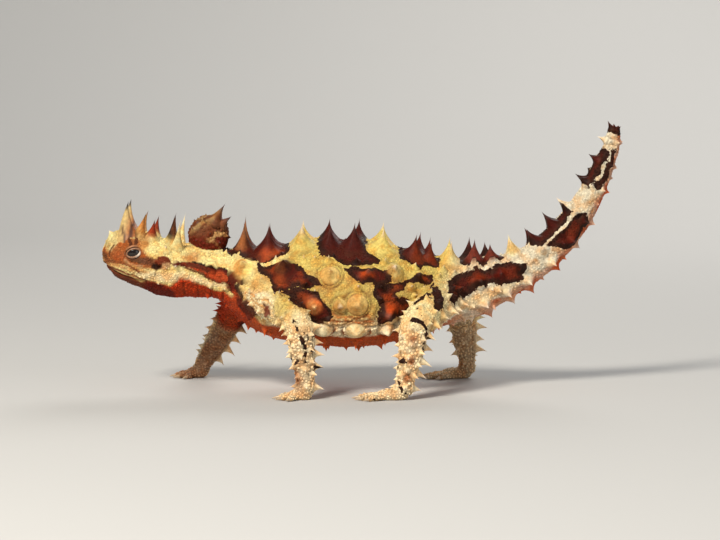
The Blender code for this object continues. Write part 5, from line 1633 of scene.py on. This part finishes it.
def spine_shape(item, sides, shares, ridge, phase):
    """Points by ring from the sunk root up to the tip, and the spot of skin and the height of each point."""
    out, height = item.out, item.height
    side = unit(np.cross(out, (0.0, 0.0, 1.0) if abs(out[2]) < 0.9 else (1.0, 0.0, 0.0)))
    other = np.cross(out, side)
    angles = np.arange(sides) * 2 * math.pi / sides
    spread = np.cos(angles)[:, None] * side + np.sin(angles)[:, None] * other
    t = np.concatenate([[-item.sink / height], shares])
    waves = sum(size * np.sin(turns * angles + step * phase) for size, turns, step in SPINE_WAVES)
    shaped = 1 + ridge * waves[None, :]
    if item.flare <= SHOULDER_FLARE:
        shaped = 1 - BOSS_RIDGE * np.abs(np.sin(1.5 * angles + phase))[None, :] * smooth(0.0, 0.4, t)[:, None]
    foot = (BOSS_FOOT_SPREAD if item.ringed else FOOT_SPREAD) * np.exp(-np.clip(t, -FOOT_FADE, 1) / FOOT_FADE)
    body = np.clip(1 - t, 0, 1.05) ** item.flare + foot
    rise = out * (t * height)[:, None] + item.lean * (height * np.maximum(t, 0) ** 2)[:, None]
    wide = shaped * (body * item.radius)[:, None]
    rings = item.root + rise[:, None] + spread[None] * wide[:, :, None]
    tip = item.root + (out + item.lean) * height
    points, faces = loft(rings, None, tip)
    under = item.root + spread[None] * (np.minimum(body, 1.1) * item.radius)[:, None, None]
    under = np.concatenate([under.reshape(-1, 3), [item.root]])
    level = np.concatenate([np.repeat(t, sides), [1.0]])
    return points, faces, under, level


def colour_and_shade_spine(looks, item, chosen, points, level):
    """Gives one spine its own colours in front, behind and at the tip; front and rear also paint a lit half
    and a shaded half.
    """
    front, rear, tip = item.colours
    points, level = points[chosen], level[chosen]
    share = smooth(0.0, 0.04, level) if item.ringed else smooth(0.02, 0.30, level)
    ahead = (points[:, 0] - item.root[0]) / item.radius - 0.3 * level
    colour = mix(rear, front, smooth(0.22, -0.22, ahead + 0.35 * lumps(points, 1.1)))
    for key in ("ground", "mark"):
        looks[key][chosen] = mix(looks[key][chosen], colour, share)
    looks["dark"][chosen] += np.where(looks["dark"][chosen] > 0, 4.0, -4.0) * share
    looks["end"][chosen] = tip
    looks["tip"][chosen] = (0.3 if item.ringed else 0.85) * smooth(0.55, 0.92, level)
    # A boss gets painted shade round its foot.
    if item.ringed:
        looks["crease_shade"][chosen] = 0.9 * smooth(0.10, 0.0, level)


def drape(points, level, owner, items):
    """Moves the feet of spines up or down along them, so that they follow the skin all round."""
    draped = np.array([item.draped for item in items])[owner] & (level < DRAPE_END)
    own = owner[draped]
    height, sink, out = (np.array([getattr(i, key) for i in items])[own] for key in ("height", "sink", "out"))
    outside = BODY.locate(points[draped])[2]
    wanted = np.maximum(level[draped] * height, -sink)
    shift = (outside - wanted) * smooth(DRAPE_END, 0.0, level[draped])
    points[draped] -= out * shift[:, None]
    return points


def spine_piece(name, items, material, slot):
    """Joined spines as one piece."""
    rng = random.Random(SEED + 4)
    made = []
    for item in items:
        _, sides, shares = next(row for row in SPINE_MESHES if item.radius > row[0])
        made.append(spine_shape(item, sides, shares, SPINE_RIDGE, rng.uniform(0, 6)))
    points, faces = join([shape[:2] for shape in made])
    under, level = (np.concatenate([shape[k] for shape in made]) for k in (2, 3))
    owner = np.repeat(np.arange(len(items)), [len(shape[0]) for shape in made])
    points = drape(points, level, owner, items)
    roots = np.array([item.root for item in items])
    looks, *_ = look_at(under)
    own, part, along, turn = look_at(roots)
    dark = own["dark"] > 0.1
    pale = mix(own["ground"] * 1.5, PALE_TIP, smooth(0.12, 0.35, own["ground"][:, 1]))
    looks["end"] = np.where(dark[:, None], DARK_TIP, pale)[owner]
    start = np.array([rng.uniform(0.42, 0.62) for _ in items])[owner]
    knobbed = (part == KNOB_PART)[owner]
    looks["tip"] = np.where(knobbed, 1.0, 0.7) * smooth(0, 0.4, level - start + 0.12 * knobbed)
    # Painted shade at the foot of every spine.
    looks["crease_shade"] = 0.45 * smooth(0.12, 0.0, level)
    looks["vary"] = np.array([rng.random() for _ in items])[owner]
    for number, item in enumerate(items):
        if item.colours:
            colour_and_shade_spine(looks, item, np.flatnonzero(owner == number), points, level)
    root = unwrap(roots, part, along, turn)
    around = unit(under - roots[owner])[:, :2]
    patches = root[owner] + around * (PATCH / 2 * (1 - 0.9 * np.clip(level, 0, 1)))[:, None]
    return make_piece(name, points, faces, looks, material, slot, patches)


def horns(material):
    """The two large horns over the eyes."""
    for name, side in (("horn_left", -1), ("horn_right", 1)):
        angle = side * HORN_ANGLE
        root = on_skin(HORN_PLACE, angle)
        up = unit(BODY.normals(HORN_PLACE, angle)[0] * HORN_SQUARE + HORN_RISE)
        item = spine(root, up, (HORN_LEAN, 0, 0), HORN_HEIGHT, HORN_RADIUS, "head", HORN_FLARE, HORN_SINK)
        item.draped = True
        points, faces, _, level = spine_shape(item, HORN_SIDES, HORN_SHARES, HORN_RIDGE, HORN_PHASE)
        points = drape(points, level, np.zeros(len(points), int), [item])
        front = smooth(0.6, -0.8, (points[:, 0] - root[0]) / HORN_RADIUS - level)
        colour = mix(HORN_SIDE, HORN_FRONT, front)
        foot = smooth(0.42, 0.10, level + 0.10 * lumps(points, 1.4)) * (1 - 0.8 * front)
        colour = mix(colour, HORN_FOOT, foot)
        for streak in HORN_STREAKS:
            away = apart_from_path(points[:, 0], points[:, 2], streak)
            colour = mix(colour, HORN_DARK, 0.9 * smooth(0.55, 0.25, away + 0.15 * lumps(points, 0.7)))
        tip = smooth(0.68, 0.86, level + 0.05 * lumps(points, 0.8))
        looks = {"ground": colour, "tip": tip, "vary": np.full(len(points), 0.5)}
        horn = make_piece(name, points, faces, looks, material, "horn")
        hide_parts(name)


def claws(material):
    """A curved claw at the end of every toe."""
    shapes = []
    t = np.array(CLAW_SHARES)
    size = CLAW_RADIUS * np.clip(1 - t, 0, 1.1) ** CLAW_FLARE * CLAW_SWELL
    angles = np.arange(CLAW_SIDES) * 2 * math.pi / CLAW_SIDES
    drop = np.outer(-CLAW_DROOP * np.maximum(t, 0) ** 2, (0, 0, 1.0))
    for _, _, toes in FEET.values():
        for tube, ahead in toes:
            end = tube.read(tube.length)[0, :3]
            centres = end + ahead * (t * CLAW_LENGTH)[:, None] + drop
            across = np.array((-ahead[1], ahead[0], 0.0)) * CLAW_NARROWNESS
            ring = np.cos(angles)[:, None] * across + np.sin(angles)[:, None] * np.array((0, 0, 1.0))
            rings = centres[:, None] + ring[None] * size[:, None, None]
            points, faces = loft(rings, None, end + ahead * CLAW_LENGTH - (0, 0, CLAW_DROOP))
            points[:, 2] = np.maximum(points[:, 2], SOLE_HEIGHT)
            shapes.append((points, faces))
    make_piece("claws", *join(shapes), {}, material, "claws")


def eyes(material):
    for name, side in (("eye_left", -1), ("eye_right", 1)):
        points, faces = ball_shape(eye_centre(side), (EYE_RADIUS,) * 3, *EYEBALL_MESH)
        ball = make_piece(name, points, faces, {}, material, "eye")
        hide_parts(name)


def lid_ring(side, half_length, half_height, thickness, lift):
    """A soft ring round the eye's opening, lying on the eyeball, thicker below and behind."""
    turn = np.arange(LID_STEPS) * 2 * math.pi / LID_STEPS
    x, z = half_length * np.cos(turn), half_height * np.sin(turn)
    cosine, sine = math.cos(EYE_TILT), math.sin(EYE_TILT)
    along, rise = x * cosine - z * sine, x * sine + z * cosine
    reach = EYE_RADIUS + lift
    outward = np.sqrt(np.maximum(reach**2 - along**2 - rise**2, LEAST_LID_DEPTH**2))
    centre = eye_centre(side)
    path = centre + np.stack([along, side * outward, rise], axis=1)
    tangent = unit(np.roll(path, -1, axis=0) - np.roll(path, 1, axis=0))
    away = unit(path - centre)
    across = unit(np.cross(tangent, away))
    thick = (thickness * (1 + LID_SWELL * np.cos(turn + LID_SWELL_TURN)))[:, None, None]
    angles = np.arange(LID_SIDES)[None, :, None] * 2 * math.pi / LID_SIDES
    ring = thick * (np.cos(angles) * across[:, None] + LID_FLATNESS * np.sin(angles) * away[:, None])
    faces = []
    for i, j in product(range(LID_STEPS), range(LID_SIDES)):
        here, ahead = i * LID_SIDES, (i + 1) % LID_STEPS * LID_SIDES
        beside = (j + 1) % LID_SIDES
        faces.append((here + j, here + beside, ahead + beside, ahead + j))
    return (path[:, None] + ring).reshape(-1, 3), faces


def lids(material):
    """Pale rims and folds round both eyes, the folds with painted shadow below."""
    rear, _, height = EYE_CENTRE
    points, faces = join([lid_ring(side, *RIM_RING) for side in SIDES])
    pale = smooth(0.2, 1.6, points[:, 0] - rear) * smooth(0.9, -0.2, points[:, 2] - height)
    make_piece("lid_rims", points, faces, {"ground": mix(LID_PINK, LID_WHITE, pale)}, material, "skin_back")
    points, faces = join([lid_ring(side, *FOLD_RING) for side in SIDES])
    # The folds darken below: painted shadow.
    fold = mix(FOLD_ABOVE, FOLD_SHADOW_BELOW, smooth(0.4, -0.5, points[:, 2] - height))
    make_piece("lid_folds", points, faces, {"ground": fold}, material, "skin_back")


class Shader:
    """A material whose nodes are added by short calls."""

    def __init__(self, name):
        self.material = bpy.data.materials.new(name)
        self.material.use_nodes = True
        self.tree = self.material.node_tree
        self.surface = self.tree.nodes["Principled BSDF"]

    def add(self, kind, inputs=(), **settings):
        made = self.tree.nodes.new("ShaderNode" + kind)
        for key, value in settings.items():
            setattr(made, key, value)
        for key, value in dict(inputs).items():
            self.feed(made.inputs[key], value)
        return made

    def feed(self, socket, value):
        if isinstance(value, bpy.types.NodeSocket):
            self.tree.links.new(value, socket)
        else:
            socket.default_value = value

    def attribute(self, name, output="Fac"):
        return self.add("Attribute", attribute_name=name).outputs[output]

    def math(self, operation, first, second=0.0):
        return self.add("Math", {0: first, 1: second}, operation=operation).outputs[0]

    def noise(self, size, detail=2.0):
        """Noise with lumps of about this size in mm."""
        spots = self.add("TexCoord").outputs["Object"]
        made = self.add("TexNoise", {"Vector": spots, "Scale": 1 / (size * MM), "Detail": detail})
        return made.outputs["Fac"]

    def range(self, value, low, high, to_low=0.0, to_high=1.0, kind="SMOOTHSTEP"):
        inputs = {0: value, 1: low, 2: high, 3: to_low, 4: to_high}
        return self.add("MapRange", inputs, interpolation_type=kind).outputs[0]

    def mix(self, first, second, share, kind="MIX"):
        made = self.add("Mix", data_type="RGBA", blend_type=kind)
        colours = [socket for socket in made.inputs if socket.type == "RGBA"]
        self.feed(made.inputs[0], share)
        for socket, value in zip(colours, (first, second)):
            self.feed(socket, value if isinstance(value, bpy.types.NodeSocket) else (*value, 1))
        return next(socket for socket in made.outputs if socket.type == "RGBA")

    def times(self, colour, red, green, blue):
        """A colour with its parts multiplied by numbers."""
        parts = self.add("CombineColor", {0: red, 1: green, 2: blue}).outputs[0]
        return self.mix(colour, parts, 1.0, "MULTIPLY")

    def finish(self, colour, bump, **values):
        """Sets the surface's colour, its bump as noise, strength and mm, and its plain values by name."""
        self.feed(self.surface.inputs["Base Color"], colour)
        if bump:
            made = self.add("Bump", {"Height": bump[0], "Strength": bump[1], "Distance": bump[2] * MM})
            self.feed(self.surface.inputs["Normal"], made.outputs["Normal"])
        for key, value in values.items():
            self.surface.inputs[key.replace("_", " ").title().replace("Ior", "IOR")].default_value = value
        return self.material


def marked_material(name, roughness, varies, tipped):
    """The skin's colours: ground and markings with dark rims, flecks, painted shade in creases and the tips
    of spines.
    """
    shader = Shader(name)
    coarse = shader.math("SUBTRACT", shader.noise(1.1, 3.0), 0.5)
    depth = shader.math("ADD", shader.attribute("dark"), shader.math("MULTIPLY", coarse, EDGE_WOBBLE))
    inside = shader.range(depth, -0.08, 0.08)
    colour = shader.mix(shader.attribute("ground", "Color"), shader.attribute("mark", "Color"), inside)
    wide = shader.math("MULTIPLY", shader.math("SUBTRACT", shader.noise(3.0), 0.5), 3.0)
    rim = shader.range(shader.math("ADD", depth, wide), 0.6, 2.5, 0.95, 0.0)
    colour = shader.mix(colour, BLACK, shader.math("MULTIPLY", inside, rim))
    fleck = shader.range(shader.noise(0.7, 3.0), 0.3, 0.7, 0.80, 1.16)
    blotch = shader.range(shader.noise(2.6, 3.0), 0.34, 0.60, 0.80, 1.04)
    green = shader.math("MULTIPLY", fleck, blotch)
    colour = shader.times(colour, fleck, green, shader.math("MULTIPLY", green, blotch))
    if varies:
        share = shader.range(shader.attribute("vary"), 0.0, 1.0, 0.86, 1.12, "LINEAR")
        colour = shader.times(colour, share, share, share)
    # Painted shade in creases, round bosses, at the feet of spines and between scales.
    colour = shader.mix(colour, CREASE_SHADE, shader.math("MULTIPLY", shader.attribute("crease_shade"), 0.85))
    if tipped:
        colour = shader.mix(colour, shader.attribute("end", "Color"), shader.attribute("tip"))
    bump = (shader.noise(0.5, 4.0), 0.6, 0.2)
    return shader.finish(colour, bump, roughness=roughness, specular_ior_level=SHEEN)


def flecked_material(name, flecks, bump, roughness, tip=None):
    """Ground colour with flecks (size, detail, least and most light) and a bump (size, detail, strength)."""
    shader = Shader(name)
    light_share = shader.range(shader.noise(*flecks[:2]), 0.3, 0.7, *flecks[2:])
    colour = shader.times(shader.attribute("ground", "Color"), light_share, light_share, light_share)
    if tip:
        colour = shader.mix(colour, tip, shader.attribute("tip"))
    return shader.finish(colour, (shader.noise(*bump[:2]), bump[2], 0.1), roughness=roughness)


def plain_material(name, colour, roughness):
    return Shader(name).finish((*colour, 1), None, roughness=roughness)


def backdrop():
    """A pale floor that curves up behind the model."""
    profile = [(FLOOR_FRONT, 0.0), (FLOOR_BACK, 0.0)]
    for a in np.linspace(0.1, math.pi / 2, 16):
        profile.append((FLOOR_BACK + CURVE_RADIUS * math.sin(a), CURVE_RADIUS - CURVE_RADIUS * math.cos(a)))
    profile.append((FLOOR_BACK + CURVE_RADIUS, WALL_TOP))
    points = [(x, y, z) for y, z in profile for x in (-FLOOR_HALF_WIDTH, FLOOR_HALF_WIDTH)]
    faces = [(2 * i, 2 * i + 1, 2 * i + 3, 2 * i + 2) for i in range(len(profile) - 1)]
    mesh = bpy.data.meshes.new("backdrop")
    mesh.from_pydata(points, [], faces)
    mesh.shade_smooth()
    mesh.materials.append(plain_material("backdrop", FLOOR, 0.85))
    obj = link("backdrop", mesh)


def aim(obj, place, target):
    obj.location = place
    obj.rotation_mode = "QUATERNION"
    obj.rotation_quaternion = (Vector(target) - Vector(place)).to_track_quat("-Z", "Y")


def light(name, place, size, power, colour):
    lamp = bpy.data.lights.new(name, "AREA")
    lamp.size, lamp.energy, lamp.color = size, power, colour
    aim(link(name, lamp), place, LIGHTS_AIM)


def studio():
    """Floor, lights and the camera at the photo's angle."""
    backdrop()
    for values in LIGHTS:
        light(*values)
    scene = bpy.context.scene
    scene.world = bpy.data.worlds.new("studio")
    scene.world.use_nodes = True
    background = scene.world.node_tree.nodes["Background"]
    background.inputs["Color"].default_value = (*AIR, 1)
    background.inputs["Strength"].default_value = AIR_STRENGTH
    camera = bpy.data.cameras.new("camera")
    camera.sensor_width = SENSOR_WIDTH
    camera.lens = SENSOR_WIDTH * CAMERA_DISTANCE / VIEW_WIDTH
    camera.clip_start, camera.clip_end = 0.01, 20
    scene.camera = link("camera", camera)
    target = (np.array(CAMERA_TARGET) + SHIFT) * MM
    tilt = math.radians(CAMERA_ELEVATION)
    back = np.array((0.0, -math.cos(tilt), math.sin(tilt))) * CAMERA_DISTANCE * MM
    aim(scene.camera, target + back, target)
    scene.view_settings.view_transform = "Standard"


def main():
    mesh = one_skin()
    before = read_array(mesh.vertices, "co")
    looks, part, along, turn = look_at(before)
    spines = all_spines()
    spots, crease_shade = sculpt(before, mesh_normals(before, mesh), along, turn, part, spines)
    normals = mesh_normals(spots, mesh)
    mesh.calc_loop_triangles()
    skin = {
        "before": before, "spots": spots, "normals": normals, "part": part, "along": along, "turn": turn,
        "crease_shade": crease_shade, "triangles": read_array(mesh.loop_triangles, "vertices", 3, np.int32),
    }
    rough_limb = on_limb(part) & (before[:, 2] < LIMB_ROUGH_BELOW)
    # Painted shade on the skin between the scales everywhere, stronger on the lower limbs, on top of the
    # shade in creases.
    looks["crease_shade"] = np.maximum(crease_shade, np.where(rough_limb, 0.55, 0.25))
    faces = [tuple(face.vertices) for face in mesh.polygons]
    bpy.data.meshes.remove(mesh)
    piece = make_piece("skin", spots, faces, looks, marked_material("skin", 0.70, False, False), "skin_back")
    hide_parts(*(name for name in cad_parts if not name.startswith(("eye", "horn"))))

    spines += thorns(skin, spines)
    scales(skin, spines, marked_material("scales", 0.65, True, False))
    spine_material = marked_material("spines", 0.55, True, True)
    for region in ("head", "trunk", "tail", "limbs"):
        spine_piece("spines_" + region, [s for s in spines if s.part == region], spine_material, "spines")
    horns(flecked_material("horn", (0.9, 4.0, 0.82, 1.12), (0.4, 2.0, 0.2), 0.48, HORN_TIP))
    claws(plain_material("claws", CLAW, 0.35))
    eyes(plain_material("eye", EYE, 0.05))
    lids(flecked_material("lids", (0.5, 3.0, 0.75, 1.15), (0.25, 3.0, 0.4), 0.5))
    studio()


main()
